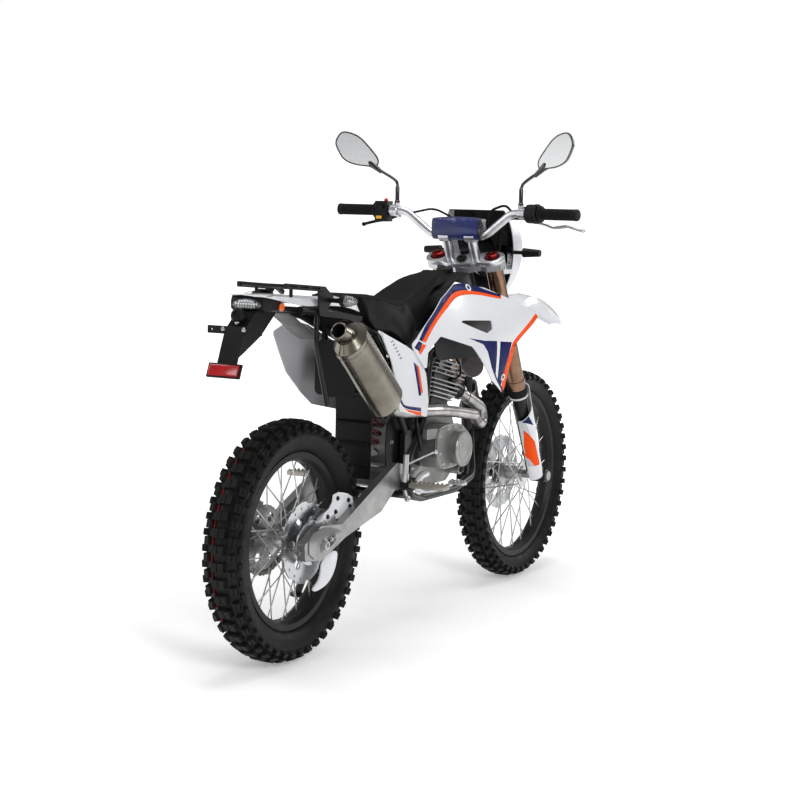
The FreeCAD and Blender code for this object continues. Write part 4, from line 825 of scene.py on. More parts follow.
# Each row: distance from the middle, length, width, height, slope, shift along, groove half width
rear_rows = [
    (0, 0.027, 0.0400, 0.0150, 0.0, 0.0, 0.0012),
    (0.0345, 0.024, 0.0190, 0.0150, 0.40, 0.5, 0.0010),
    (0.0500, 0.020, 0.0120, 0.0135, 1.00, 0.0, 0),
]
front_rows = [
    (0, 0.024, 0.0320, 0.0145, 0.0, 0.0, 0.0010),
    (0.0275, 0.022, 0.0150, 0.0145, 0.42, 0.5, 0.0009),
    (0.0400, 0.019, 0.0110, 0.0125, 1.00, 0.0, 0),
]
tyre("rear_tyre_knobbly", REAR_AXLE, REAR_RADIUS, 0.106, 0.242, 0.062, 46, rear_rows, "rear_wheel")
tyre("front_tyre_knobbly", FRONT_AXLE, FRONT_RADIUS, 0.085, 0.2785, 0.048, 50, front_rows, "front_wheel")

# %% [markdown]
# ## The red line
# The rear tyre carries a thin red moulding line beside its middle blocks. It is a narrow ring low in
# the channel, so the blocks break it up when it is seen from the side.

# %% Red moulding line
red_line = finish("red_rubber", (0.34, 0.012, 0.022), (0.20, 0.008, 0.014), 0.6, dust=0.05, shine=0.3)
base = REAR_RADIUS - 0.0165
ring = lathe("rear_tyre_line", [(base - 0.002, 0.0215), (base + 0.0050, 0.0219), (base + 0.0050, 0.0231),
    (base - 0.002, 0.0235)], steps=120, closed=True)
move(ring, Matrix.Translation(REAR_AXLE) @ Matrix.Rotation(-math.pi / 2, 4, "X"))
settle(ring, "rear_wheel", red_line)
print("red line", len(ring.data.polygons), "faces")

# %% [markdown]
# ## Drive chain
# A chain is the same pair of links over and over: two inner plates with rollers, two outer plates
# with pins. One pair is modelled flat, then copied along the line round both sprockets.

# %% The chain's path
FRONT_SPROCKET = Vector((0.560, 0, 0.500))
BIG, SMALL, CHAIN_SIDE, TWO_LINKS = 0.098, 0.032, 0.071, 0.03175
run = FRONT_SPROCKET - REAR_AXLE
toward = math.atan2(run.z, run.x)
spare = math.acos((BIG - SMALL) / run.length)
straight = math.sqrt(run.length ** 2 - (BIG - SMALL) ** 2)
back_arc, front_arc = BIG * (2 * math.pi - 2 * spare), SMALL * 2 * spare


def circle_point(centre, radius, angle):
    """A point on a sprocket's pitch circle."""
    return centre + Vector((math.cos(angle), 0, math.sin(angle))) * radius


def chain_point(along):
    """A place on the chain, a distance along it from the rear sprocket's upper run."""
    upper, lower = toward + spare, toward - spare
    if along < back_arc:
        return circle_point(REAR_AXLE, BIG, upper + along / BIG)
    along -= back_arc
    if along < straight:
        return circle_point(REAR_AXLE, BIG, lower) + Vector((-math.sin(lower), 0, math.cos(lower))) * along
    along -= straight
    if along < front_arc:
        return circle_point(FRONT_SPROCKET, SMALL, lower + along / SMALL)
    along -= front_arc
    return circle_point(FRONT_SPROCKET, SMALL, upper) + Vector((math.sin(upper), 0, -math.cos(upper))) * along


chain_length = 2 * straight + back_arc + front_arc
pairs = round(chain_length / TWO_LINKS)
pitch = chain_length / (2 * pairs)
print("pitch", round(pitch * 1000, 2), "mm")

# %% Links


def link_plate(side, thick):
    """A waisted plate between two pins, flat across the chain at a given side."""
    obj = cube((0, side, 0), (pitch * 1.8, thick, 0.0145))
    edit(obj)
    for cut in (-0.45, 0.0, 0.45):
        bpy.ops.mesh.select_all(action="SELECT")
        bpy.ops.mesh.bisect(plane_co=(cut * pitch, 0, 0), plane_no=(1, 0, 0))
    pick(obj, lambda c, d: abs(c.x) < 0.001 and abs(d.y) > 0.0005, "edges")
    bpy.ops.transform.resize(value=(1, 1, 0.62))
    pick(obj, lambda c, n: abs(n.x) > 0.9)
    bpy.ops.transform.resize(value=(1, 1, 0.5))
    done()
    return obj


def pin(radius, reach):
    nothing_selected()
    bpy.ops.mesh.primitive_cylinder_add(vertices=8, radius=radius, depth=2 * reach,
        rotation=(math.pi / 2, 0, 0))
    obj = bpy.context.object
    bpy.ops.object.transform_apply(location=True, rotation=True, scale=True)
    edit(obj)
    pick(obj, lambda c, n: abs(n.y) > 0.9)
    bpy.ops.mesh.inset(thickness=radius * 0.3)
    done()
    return obj


def link_model(name, side, radius, reach):
    """Two plates, each a distance from the middle, and a pin at each end."""
    parts = [link_plate(place, 0.0016) for place in (-side, side)]
    for x in (-pitch / 2, pitch / 2):
        parts.append(move(pin(radius, reach), Matrix.Translation((x, 0, 0))))
    return joined(parts, name)


def link_places(first):
    places = []
    for index in range(first, 2 * pairs, 2):
        start = chain_point((index * pitch) % chain_length)
        end = chain_point(((index + 1) * pitch) % chain_length)
        way = end - start
        middle = (start + end) / 2 + Vector((0, CHAIN_SIDE, 0))
        places.append(Matrix.Translation(middle) @ Matrix.Rotation(-math.atan2(way.z, way.x), 4, "Y"))
    return places


inner_link = link_model("inner_link", 0.0042, 0.0050, 0.0034)
outer_link = link_model("outer_link", 0.0061, 0.0026, 0.0078)
links = [spread(inner_link, link_places(0), "inner_links"), spread(outer_link, link_places(1), "outer_links")]
chain = joined(links, "chain_links")
chain_steel = finish("oiled_chain", (0.30, 0.29, 0.275), (0.17, 0.16, 0.15), 0.36, 0.9, dust=0.4)
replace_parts(settle(chain, "chassis", chain_steel), "drive_chain")
print(2 * pairs, "links,", len(chain.data.polygons), "faces")

# %% [markdown]
# ## Printed stripes
# The white panels carry printed film: a navy and an orange band along the upper edge, a navy
# wedge and an orange band in front. A film must follow the panel's curve exactly, so it is cut from
# a copy of the panel itself: a prism with the stripe's outline is intersected with the copy, only
# the faces that look outwards are kept, lifted by a third of a millimetre, and given a thickness.

# %% Cutting a film from a panel
navy_film = finish("navy_print", (0.008, 0.012, 0.090), (0.006, 0.009, 0.070), 0.45, depth=0.00002, dust=0.0,
    shine=0.12)
orange_film = finish("orange_print", (0.90, 0.085, 0.004), (0.82, 0.070, 0.003), 0.45, depth=0.00002,
    dust=0.0, shine=0.12)
white_film = finish("white_print", (0.76, 0.77, 0.79), (0.71, 0.72, 0.74), 0.26, depth=0.00002, dust=0.0,
    coat=0.2)
dark_print = finish("dark_print", (0.008, 0.008, 0.0085), (0.013, 0.013, 0.0135), 0.38, dust=0.0, shine=0.3)


def rounded(points, times=2, closed=False):
    """Corner cutting: each pass replaces a corner by two points, a quarter of the way along."""
    for _ in range(times):
        cut = [] if closed else [points[0]]
        ends = list(zip(points, points[1:] + (points[:1] if closed else [])))
        for (ax, ay), (bx, by) in ends:
            cut += [(ax * 0.75 + bx * 0.25, ay * 0.75 + by * 0.25),
                (ax * 0.25 + bx * 0.75, ay * 0.25 + by * 0.75)]
        points = cut if closed else cut + [points[-1]]
    return points


def band(outer, inner):
    """The outline between two lines, each rounded along its way but sharp at its ends."""
    return rounded(outer) + rounded(inner)[::-1]


def outline_mesh(name, points, depth, millimetres=True):
    """A flat outline in the side plane, as a prism reaching depth to each side of it."""
    nothing_selected()
    unit = 0.001 if millimetres else 1.0
    curve = bpy.data.curves.new(name, "CURVE")
    curve.dimensions, curve.fill_mode, curve.extrude = "2D", "BOTH", depth
    spline = curve.splines.new("POLY")
    spline.points.add(len(points) - 1)
    for point, (x, z) in zip(spline.points, points):
        point.co = (x * unit, z * unit, 0, 1)
    spline.use_cyclic_u = True
    obj = bpy.data.objects.new(name, curve)
    bpy.context.scene.collection.objects.link(obj)
    only(obj)
    bpy.ops.object.convert(target="MESH")
    obj = bpy.context.object
    move(obj, Matrix.Rotation(math.pi / 2, 4, "X"))
    return tidy(obj, smooth=0)


def upright_copy(node, name):
    copy = nodes[node].copy()
    copy.data = nodes[node].data.copy()
    bpy.context.scene.collection.objects.link(copy)
    for key in list(copy.keys()):
        del copy[key]
    copy.parent, copy.name = None, name
    move(copy, upright)
    return tidy(copy, smooth=0)


def film(name, node, outline, material, side, body="chassis", lift=0.00035):
    """A printed film on one side of a panel, from one outline or a list of them."""
    piece = upright_copy(node, name)
    outlines = outline if isinstance(outline[0], list) else [outline]
    prism = joined([outline_mesh(name + "_prism", points, 0.15) for points in outlines], name + "_prism")
    move(prism, Matrix.Translation((0, side * 0.17, 0)))
    apply_modifier(piece, "BOOLEAN", object=prism, operation="INTERSECT", solver="EXACT")
    bpy.data.objects.remove(prism)
    edit(piece)
    pick(piece, lambda c, n: n.y * side < 0.05)
    bpy.ops.mesh.delete(type="FACE")
    done()
    apply_modifier(piece, "DISPLACE", strength=lift, mid_level=0.0)
    apply_modifier(piece, "SOLIDIFY", thickness=lift * 0.8, offset=-1.0)
    return settle(shade(piece, 40), body, material)


crest_outer = [(511, 855), (560, 902), (632, 953), (690, 986), (758, 1009), (850, 1009), (916, 984),
    (950, 973)]
crest_inner = [(526, 850), (575, 892), (640, 937), (713, 974), (753, 986), (814, 990), (888, 980), (948, 966)]
crest_orange = [(543, 846), (590, 888), (642, 922), (727, 963), (764, 973), (832, 977), (883, 972),
    (946, 960)]
front_outer = [(1060, 906), (1000, 835), (991, 812), (996, 782), (1008, 668)]
front_inner = [(1048, 914), (979, 832), (976, 814), (976, 783), (973, 702), (984, 668)]
shroud_prints = {
    "navy_crest": (band(crest_outer, crest_inner), navy_film),
    "orange_crest": (band(crest_inner, crest_orange), orange_film),
    "orange_front": (band(front_outer, front_inner), orange_film),
    "navy_wedge": ([(766, 848), (853, 836), (909, 833), (924, 722), (895, 750), (866, 803), (843, 826)],
        navy_film),
    "navy_front": ([(924, 831), (973, 827), (975, 783), (972, 702), (969, 685), (940, 712), (929, 790)],
        navy_film),
    "navy_corner": ([(508, 852), (526, 845), (506, 822), (478, 834)], navy_film),
    "orange_corner": ([(528, 843), (544, 838), (510, 813), (499, 820)], orange_film),
}
panel_prints = {
    "navy_stripe": ([(469, 794), (486, 785), (493, 697), (477, 697)], navy_film),
    "orange_stripe": ([(487, 784), (499, 778), (504, 704), (490, 703)], orange_film),
    "navy_foot": (band([(356, 725), (379, 684), (393, 675), (484, 662)],
        [(356, 712), (369, 683), (391, 667), (486, 651)]), navy_film),
    "orange_foot": (band([(356, 710), (368, 682), (389, 665), (487, 649)],
        [(358, 700), (366, 680), (384, 659), (487, 638)]), orange_film),
}
for side, word in SIDES:
    for panel, prints in (("shroud_", shroud_prints), ("side_panel_", panel_prints)):
        for label, (outline, material) in prints.items():
            film("%s_%s" % (label, word), panel + word, outline, material, side)
print(2 * (len(shroud_prints) + len(panel_prints)), "films cut")

# %% [markdown]
# ## The saddle
# The seat is foam under a stretched cover. A CAD solid has hard, flat sides, so a copy of it is
# remeshed into even faces, blown up with cloth pressure like a cushion, and held back so no point
# strays far. The cover's grain is in its finish, and the seam along the edge comes after the cloth.

# %% Puffing a cushion


def puff(obj, voxel, cap, pressure=4.0, shrink=0.002):
    """A padded form from a solid one: remesh, shrink, swell with cloth, cap the movement."""
    only(obj)
    obj.data.remesh_voxel_size = voxel
    bpy.ops.object.voxel_remesh()
    apply_modifier(obj, "SMOOTH", factor=0.5, iterations=6)
    apply_modifier(obj, "DISPLACE", strength=-shrink, mid_level=0.0)
    start = [v.co.copy() for v in obj.data.vertices]
    cloth = obj.modifiers.new("cloth", "CLOTH")
    cloth.settings.use_pressure = True
    cloth.settings.uniform_pressure_force = pressure
    cloth.settings.effector_weights.gravity = 0
    cloth.settings.quality = 5
    for number in range(1, 21):
        bpy.context.scene.frame_set(number)
    only(obj)
    bpy.ops.object.modifier_apply(modifier="cloth")
    bpy.context.scene.frame_set(1)
    for vertex, home in zip(obj.data.vertices, start):
        shift = vertex.co - home
        if shift.length > cap:
            vertex.co = home + shift * (cap / shift.length)
    apply_modifier(obj, "SMOOTH", factor=0.5, iterations=4)
    apply_modifier(obj, "SUBSURF", levels=1, render_levels=1)
    only(obj)
    bpy.ops.object.shade_smooth()
    return obj


saddle = puff(upright_copy("seat", "saddle"), 0.006, 0.005, shrink=0.003)
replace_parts(dress(saddle, "seat"), "seat")
print("saddle", len(saddle.data.polygons), "faces")

# %% [markdown]
# ## Seams
# A seam on a cover is a thin raised line. It starts as a smooth curve near the edge, is pressed
# onto the cover with a shrinkwrap, and only then gets its thickness.

# %% Seams on the saddle


def smooth_line(name, points, radius):
    """A round cord through points in metres, as a curve."""
    curve = bpy.data.curves.new(name, "CURVE")
    curve.dimensions, curve.bevel_depth, curve.bevel_resolution = "3D", radius, 3
    curve.use_fill_caps = True
    spline = curve.splines.new("NURBS")
    spline.points.add(len(points) - 1)
    for point, place in zip(spline.points, points):
        point.co = (*place, 1)
    spline.order_u = 3
    spline.use_endpoint_u = True
    spline.resolution_u = 8
    obj = bpy.data.objects.new(name, curve)
    bpy.context.scene.collection.objects.link(obj)
    return obj


def meshed(obj):
    only(obj)
    bpy.ops.object.convert(target="MESH")
    return tidy(bpy.context.object, smooth=60)


def laid_line(name, points, radius, target):
    """A seam pressed onto a surface: a thin line is wrapped, then made round."""
    path = smooth_line(name, points, 0.0)
    only(path)
    bpy.ops.object.convert(target="MESH")
    path = bpy.context.object
    apply_modifier(path, "SUBSURF", levels=2, render_levels=2, subdivision_type="SIMPLE")
    apply_modifier(path, "SHRINKWRAP", target=target, offset=radius * 0.2)
    only(path)
    bpy.ops.object.convert(target="CURVE")
    path = bpy.context.object
    path.data.bevel_depth, path.data.bevel_resolution, path.data.use_fill_caps = radius, 2, True
    return meshed(path)


seat_edge = [(0.237, 0.084, 0.991), (0.377, 0.084, 0.979), (0.437, 0.082, 0.967), (0.517, 0.078, 0.960),
    (0.613, 0.072, 0.991), (0.736, 0.056, 1.027), (0.836, 0.036, 1.046)]
seams = []
for side, _ in SIDES:
    line = [leaned @ Vector((x, side * (y + 0.002), z)) for x, y, z in seat_edge]
    seams.append(laid_line("seam", line, 0.0016, saddle))
seam = joined(seams, "saddle_seams")
seam.data.materials.append(finishes["seat"])
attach(seam, "chassis")
print("seams", len(seam.data.polygons), "faces")

# %% [markdown]
# ## Bar pad
# The pad over the handlebar clamps is foam in a glossy navy cover with black ends. It is a bevelled
# block, puffed like the saddle. The black ends are a mask across the
# motorcycle in the finish.

# %% The pad
pad_outline = [(0.9595, 1.134), (0.9595, 1.200), (0.968, 1.2045), (1.003, 1.206), (1.0105, 1.200),
    (1.0125, 1.134)]
pad = outline_mesh("bar_cushion", rounded(pad_outline, 1, True), 0.087, millimetres=False)
pad = puff(bevel(pad, 0.004), 0.004, 0.006, pressure=3.0, shrink=0.002)


def pad_cover():
    material, tree, shader = blank("pad_cover")
    ends = ramp(tree, maths(tree, "ABSOLUTE", split_place(tree)["Y"]), 0.0775, 0.0785)
    mottle = ramp(tree, use_group(tree, grain_group, "Mottle", Scale=700.0), 0.35, 0.65)
    navy = mix_colour(tree, mottle, (0.012, 0.019, 0.105), (0.008, 0.013, 0.075))
    tree.links.new(mix_colour(tree, ends, navy, (0.007, 0.007, 0.0075)), shader.inputs["Base Color"])
    tree.links.new(ramp(tree, mottle, 0, 1, 0.26, 0.38), shader.inputs["Roughness"])
    bump(tree, shader, use_group(tree, grain_group, "Height", Scale=800.0), 0.4, 0.0002)
    return material


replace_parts(settle(pad, "steering", pad_cover()), "bar_pad")
print("pad", len(pad.data.polygons), "faces")

# %% [markdown]
# ## Grips
# A grip is a rubber sleeve with raised rings, a flange on its inner end and a rounded cap. All of
# that is one profile, so it is turned and then laid along the bar's end.

# %% Ribbed grips
bar_bend = Vector((0.978, 0.185, 1.222))
bar_end = Vector((0.955, 0.410, 1.222))
bar_run = (bar_end - bar_bend).normalized()


def bar_point(along):
    """A point on the straight part of the left bar, in metres from its outer bend."""
    return bar_bend + bar_run * along


profile = [(0.0131, 0.100), (0.025, 0.100), (0.0255, 0.1015), (0.0255, 0.1045), (0.025, 0.106),
    (0.0185, 0.1075)]
rib = 0.110
while rib < 0.216:
    profile += [(0.0163, rib), (0.0163, rib + 0.0014), (0.0175, rib + 0.0018), (0.0175, rib + 0.0034)]
    rib += 0.0038
profile += [(0.0178, 0.2205), (0.0182, 0.224), (0.0182, 0.2295), (0.0165, 0.2325), (0.006, 0.2335),
    (0.0, 0.2335)]
grip = lathe("bar_grips", profile, steps=40, smooth=30)
left_grip = aim(bar_bend, bar_run)
right_grip = Matrix.Scale(-1, 4, (0, 1, 0)) @ left_grip
grips = spread(grip, [left_grip, right_grip], "bar_grips")
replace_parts(dress(grips, "rubber", "steering"), "grips")
print("grips", len(grips.data.polygons), "faces")

# %% [markdown]
# ## Mirrors
# Each mirror is a thin black shell, domed towards the front, with a glass set in its rim whose colour is a painted
# reflection.
# The outline is drawn flat, and the shell grows from it: the face is pushed forward and drawn in
# three times for the dome. The glass is an inset of the same outline on the other side.

# %% Mirror heads
mirror_outline = [(94, 102), (108, 90), (119, 66), (109, 42), (92, 13), (58, -2), (20, -6), (-14, -9),
    (-23, 4), (-20, 22), (4, 50), (36, 84), (66, 98)]


def flat_face(name, points):
    """One face with an outline across the motorcycle, looking backwards; y and z in millimetres."""
    face = outline_mesh(name, points, 0.0)
    return move(face, Matrix.Rotation(math.pi / 2, 4, "Z"))


def mirror_head():
    shape = [(48 + (y - 48) * 1.03, 45 + (z - 45) * 1.03) for y, z in rounded(mirror_outline, 2, True)]
    steps = ((0.004, 1.0), (0.008, 0.95), (0.005, 0.82), (0.002, 0.6))
    shell = tidy(dome(flat_face("shell", shape), steps, 1, 0, 0), smooth=50)
    edit(shell)
    pick(shell, lambda c, n: n.x < -0.9 and abs(c.x) < 0.0005)
    bpy.ops.mesh.inset(thickness=0.0042)
    extrude(0.0012, 0, 0)
    done()
    glass = flat_face("glass", shape)
    edit(glass)
    bpy.ops.mesh.select_all(action="SELECT")
    bpy.ops.mesh.inset(thickness=0.0046)
    done()
    return shell, glass


print("outline of", len(rounded(mirror_outline, 2, True)), "points")

# %% Placing the heads
MIRROR_JOINT = bar_point(0.041) + Vector((0.012, 0.092, 0.1443))
flip = Matrix.Scale(-1, 4, (0, 1, 0))
shift = Matrix.Translation((0, 0.030, 0))  # the right mirror stands this much nearer the middle
shell, glass = mirror_head()
toe = Matrix.Rotation(math.radians(19), 4, "Z")
left_mirror = Matrix.Translation(MIRROR_JOINT) @ toe @ Matrix.Translation((-0.0075, 0, 0))
right_mirror = shift @ flip @ left_mirror
shells = spread(shell, [left_mirror, right_mirror], "mirror_shells")
dress(shells, "mirror", "steering")
glass_place = left_mirror @ Matrix.Translation((0.0005, 0, 0))
glasses = spread(glass, [glass_place, shift @ flip @ glass_place], "mirror_glasses")
settle(glasses, "steering", mirror_glass_painted_reflection)
print("mirror shells", len(shells.data.polygons), "faces")

# %% [markdown]
# ## Sheet parts, bolts and pipes
# Most small parts of a motorcycle are one of three things: cut from sheet or cast to a flat outline,
# turned, or bent from rod. The turned ones have their maker already, and the others get theirs here.
# A bolt is one turned head, copied to every place with its own direction, so a row is one line.

# %% Makers for small parts


def plate(name, outline, low, high, edge=0.001, times=1):
    """A part with an outline in the side plane, x and z in millimetres, from y low to y high in metres."""
    obj = outline_mesh(name, rounded(outline, times, True), (high - low) / 2)
    move(obj, Matrix.Translation((0, (low + high) / 2, 0)))
    return shade(bevel(obj, edge), 35)


def side_plates(name, outline, near, far, edge, times):
    """The same plate on the right and on the left, between two distances from the middle."""
    return [plate(name, outline, *sorted((side * near, side * far)), edge, times) for side, _ in SIDES]


def block(name, low, high, edge=0.002, inset=0.002, face=RIGHTWARD):
    """A moulded block between two corners in metres, with a shallow panel sunk in one face."""
    low, high = Vector(low), Vector(high)
    obj = cube((low + high) / 2, high - low)
    obj.name = name
    edit(obj)
    pick(obj, lambda c, n: n.dot(Vector(face)) > 0.9)
    bpy.ops.mesh.inset(thickness=inset + edge)
    extrude(*(Vector(face) * -0.0006))
    done()
    return shade(bevel(obj, edge), 35)


def pipe(name, points, radius):
    """A bent rod or hose through points in millimetres."""
    return meshed(smooth_line(name, [Vector(point) / 1000 for point in points], radius / 1000))


def facing_right(y, points):
    """Bolt places on a plane that looks right; all in millimetres."""
    return [(x, y, z, RIGHTWARD) for x, z in points]


def bolts(name, radius, height, places, look="steel"):
    """Bolt heads with a washer and a sunk hexagon; each place is x, y, z in millimetres and a direction."""
    head = lathe(name, [(radius * 1.35, -0.002), (radius * 1.35, 0.001), (radius, 0.0012), (radius, height),
        (radius * 0.8, height + 0.0008), (radius * 0.5, height + 0.0008), (radius * 0.45, height * 0.5),
        (0, height * 0.5)], steps=12, smooth=30)
    spots = [aim(Vector(place[:3]) / 1000, place[3]) for place in places]
    return settle(spread(head, spots, name), "chassis", finishes[look])


print("makers for small parts ready")

# %% [markdown]
# ## Hand controls
# The left bar carries a black switch box with a red button and a yellow slide, the right bar a round
# throttle drum. Both have a silver perch with a lever: black on the left, bright and wavy on the
# right. They are modelled in the bar's own frame, where X looks back, Y up and Z outwards.

# %% Switch box and throttle drum
switch = block("switch_box", (-0.026, -0.036, 0.057), (0.022, 0.029, 0.0985), 0.005, 0.003, (1, 0, 0))
seam_band = block("switch_seam", (-0.027, -0.004, 0.0565), (0.0232, -0.002, 0.099), 0.0008, 0.0002, (1, 0, 0))
rocker = block("switch_rocker", (0.020, 0.004, 0.070), (0.0275, 0.016, 0.084), 0.002, 0.001, (1, 0, 0))
drum = turned("throttle_drum", [(13.1, 56), (25, 56), (28.5, 59), (29, 63), (29, 78), (27.5, 80), (27.5, 83),
    (30.5, 85), (30.5, 94), (28.5, 96.5), (21, 98.5), (13.1, 98.5)], steps=40)
elbow = pipe("throttle_elbow", [(0, -12, 72), (-12, -20, 70), (-24, -4, 68)], 6)
cup = turned("brake_cup", [(0, 0), (13, 0), (14.5, 2), (14.5, 20), (15.5, 21), (15.5, 26), (14, 27.5),
    (0, 27.5)], steps=28)
cup = move(cup, aim((-0.036, -0.006, 0.028), (0, 1, 0)))
left_lever = pipe("clutch_lever", [(-34, -14, 34), (-48, -27, 74), (-51, -33, 105), (-50, -38, 135),
    (-52, -47, 168)], 5)


def lever_ball(radius, x, y, z):
    """The rounded end of a lever, at a place in the bar's frame."""
    ball = lathe("lever_ball", [(0, -radius), (0.0045, -0.006), (radius, 0), (0.0045, 0.006), (0, radius)],
        16, 80)
    return move(ball, Matrix.Translation((x, y, z)))


left_ball = lever_ball(0.0075, -0.052, -0.047, 0.168)
left_side = move(joined([switch, seam_band, rocker, left_lever, left_ball], "left_controls"), left_grip)
right_side = move(joined([drum, elbow, cup], "right_controls"), right_grip)
controls = joined([left_side, right_side], "bar_controls")
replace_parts(dress(tidy(controls), "black_plastic", "steering"), "hand_controls")
print("controls", len(controls.data.polygons), "faces")

# %% Perches and right lever


def perch(side):
    """A split clamp round the bar with a boss for the mirror and an arm for the lever."""
    clamp = turned("perch", [(13.1, 26), (16, 26), (18, 28.5), (18, 39.5), (17.2, 40), (17.2, 40.8),
        (18, 41.2), (18, 51.5), (16, 54), (13.1, 54)], steps=32)
    arm = pipe("perch_arm", [(-10, -4, 41), (-24, -10, 40), (-38, -16, 38)], 8.5)
    boss = turned("perch_boss", [(0, 10), (9.2, 10), (9.2, 24), (7.5, 26), (7.5, 31), (5.5, 33), (0, 33)],
        steps=6, smooth=20)
    boss = move(boss, aim((0, 0, 0.031), (0, 1, 0)))
    return move(joined([clamp, arm, boss], "perch"), side)


bright_lever = pipe("brake_lever", [(-34, -14, 34), (-48, -27, 70), (-52, -31, 95), (-52, -41, 120),
    (-53, -37, 150), (-53, -34, 172), (-52, -43, 200), (-52, -47, 222)], 5.5)
right_ball = lever_ball(0.0078, -0.052, -0.047, 0.222)
lever = move(joined([bright_lever, right_ball], "brake_lever"), right_grip)
perches = tidy(joined([perch(left_grip), perch(right_grip), lever], "bar_perches"))
dress(perches, "silver", "steering")
print("perches", len(perches.data.polygons), "faces")

# %% Buttons
red_button = finish("button_red", (0.62, 0.010, 0.012), (0.50, 0.008, 0.010), 0.30, dust=0.0)
yellow_slide = finish("slide_yellow", (0.80, 0.42, 0.02), (0.70, 0.35, 0.015), 0.35, dust=0.0)
button = turned("stop_button", [(0, 10), (4.5, 9.8), (6.2, 8), (6.5, 0), (0, 0)], steps=20)
button = move(button, left_grip @ aim((0.010, 0.027, 0.064), (0.4, 0.9, 0)))
settle(button, "steering", red_button)
slide = block("light_slide", (0.0205, -0.027, 0.074), (0.026, -0.018, 0.092), 0.0012, 0.0008, (1, 0, 0))
settle(move(slide, left_grip), "steering", yellow_slide)
print("button and slide done")

# %% Mirror stems


def mirror_stem(joint, side):
    """Boss, bent stem, thick lower sleeve and the tapered neck that holds the head."""
    base = bar_point(0.031) + Vector((0, 0, 0.024))
    base.y *= side
    reach = joint - base
    rises = [(0, 0, 0), (0, 0, 0.030), (0.001, 0, 0.060), (0.004, side * 0.012, 0.074),
        (reach.x * 0.8, reach.y * 0.75, reach.z * 0.86)]
    path = [base + Vector(rise) for rise in rises] + [joint]
    stem = meshed(smooth_line("mirror_stem", path, 0.0050))
    sleeve = turned("stem_sleeve", [(0, 0), (8.5, 0), (8.5, 6), (6.8, 8), (6.8, 48), (5.5, 54), (0, 54)],
        steps=20)
    sleeve = move(sleeve, Matrix.Translation(base))
    way = (path[-1] - path[-2]).normalized()
    neck = turned("mirror_neck", [(0, -44), (5.8, -44), (6.8, -40), (10, -10), (12.5, 0), (13.5, 14), (8, 22),
        (0, 23)], steps=20, smooth=50)
    return [stem, sleeve, move(neck, aim(joint, way))]


left_joint = MIRROR_JOINT + Vector((0.002, 0, 0))
right_joint = shift @ flip @ left_joint
stems = joined(mirror_stem(left_joint, 1) + mirror_stem(right_joint, -1), "mirror_stems")
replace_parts(dress(tidy(stems, smooth=50), "mirror", "steering"), "mirrors")
print("mirror stems", len(stems.data.polygons), "faces")

# %% [markdown]
# ## Top of the fork
# The top clamp is a thick silver casting with round lobes, and each fork leg ends in a red adjuster
# cap. They lie square to the steering axis, so they are modelled in its frame and turned into place.

# %% Clamp top
RAKE, AXLE_LEAD = math.radians(26.5), 0.0658
FORK_LEAD, FORK_HALF, CLAMP_TOP = 0.024, 0.095, 0.8112
steer_side = Vector((math.cos(RAKE), 0, math.sin(RAKE)))
steer_up = Vector((-math.sin(RAKE), 0, math.cos(RAKE)))
steering_frame = Matrix((steer_side, (0, 1, 0), steer_up)).transposed().to_4x4()
steering_frame.translation = FRONT_AXLE - Vector((AXLE_LEAD, 0, 0))


def leg_places(height):
    """The middle of each fork leg, a height up the steering axis."""
    return [steering_frame @ Matrix.Translation((FORK_LEAD, y, height)) for y in (-FORK_HALF, FORK_HALF)]


flat = Matrix.Rotation(-math.pi / 2, 4, "X")
clamp_outline = [(-8, -126), (30, -136), (60, -120), (62, -80), (46, -42), (46, 42), (62, 80), (60, 120),
    (30, 136), (-8, 126), (-20, 95), (-14, 62), (-32, 34), (-32, -34), (-14, -62), (-20, -95)]
clamp_top = plate("clamp_top", clamp_outline, -0.8115, -0.7985, 0.0025, 2)
clamp_top = move(clamp_top, steering_frame @ flat)
dress(clamp_top, "silver", "steering")
print("clamp top", len(clamp_top.data.polygons), "faces")

# %% Fork caps and key switch
cap_red = finish("anodised_red", (0.24, 0.004, 0.004), (0.12, 0.002, 0.002), 0.22, 0.85, grain=1500, dust=0.0)
fork_cap = turned("fork_caps", [(21.5, 0), (21.5, 6), (19.5, 7.5), (19.5, 11.5), (16.5, 13), (12, 13),
    (11.5, 10.5), (7, 10.5), (6.5, 15.5), (0, 15.5)], steps=32)
cap_places = leg_places(CLAMP_TOP)
settle(spread(fork_cap, cap_places, "fork_caps"), "steering", cap_red)
seal = turned("cap_seals", [(21.5, 0), (25.5, 0), (25.5, 1.5), (21.5, 1.8)], steps=32)
dress(spread(seal, cap_places, "cap_seals"), "rubber", "steering")
key = turned("key_switch", [(16.5, 0), (16.5, 18), (15, 21.5), (10.5, 21.5), (10, 19.5), (0, 19.5)], steps=28)
nut = turned("stem_nut", [(16.5, 0), (16.5, 9), (14.5, 11), (8, 11), (7.5, 4), (0, 4)], steps=6, smooth=20)
hub_parts = [move(key, steering_frame @ Matrix.Translation((0.052, 0.012, 0.800))),
    move(nut, steering_frame @ Matrix.Translation((0, 0, CLAMP_TOP)))]
dress(joined(hub_parts, "key_and_nut"), "black_plastic", "steering")
print("top of the fork done")

# %% [markdown]
# ## Back of the lamp
# Seen from the saddle the lamp's mask is dark: the shell is white outside and black inside, and the
# round back of the lamp sits in it. The shell's black side is a mask of the faces that look back.

# %% Mask lining and lamp back


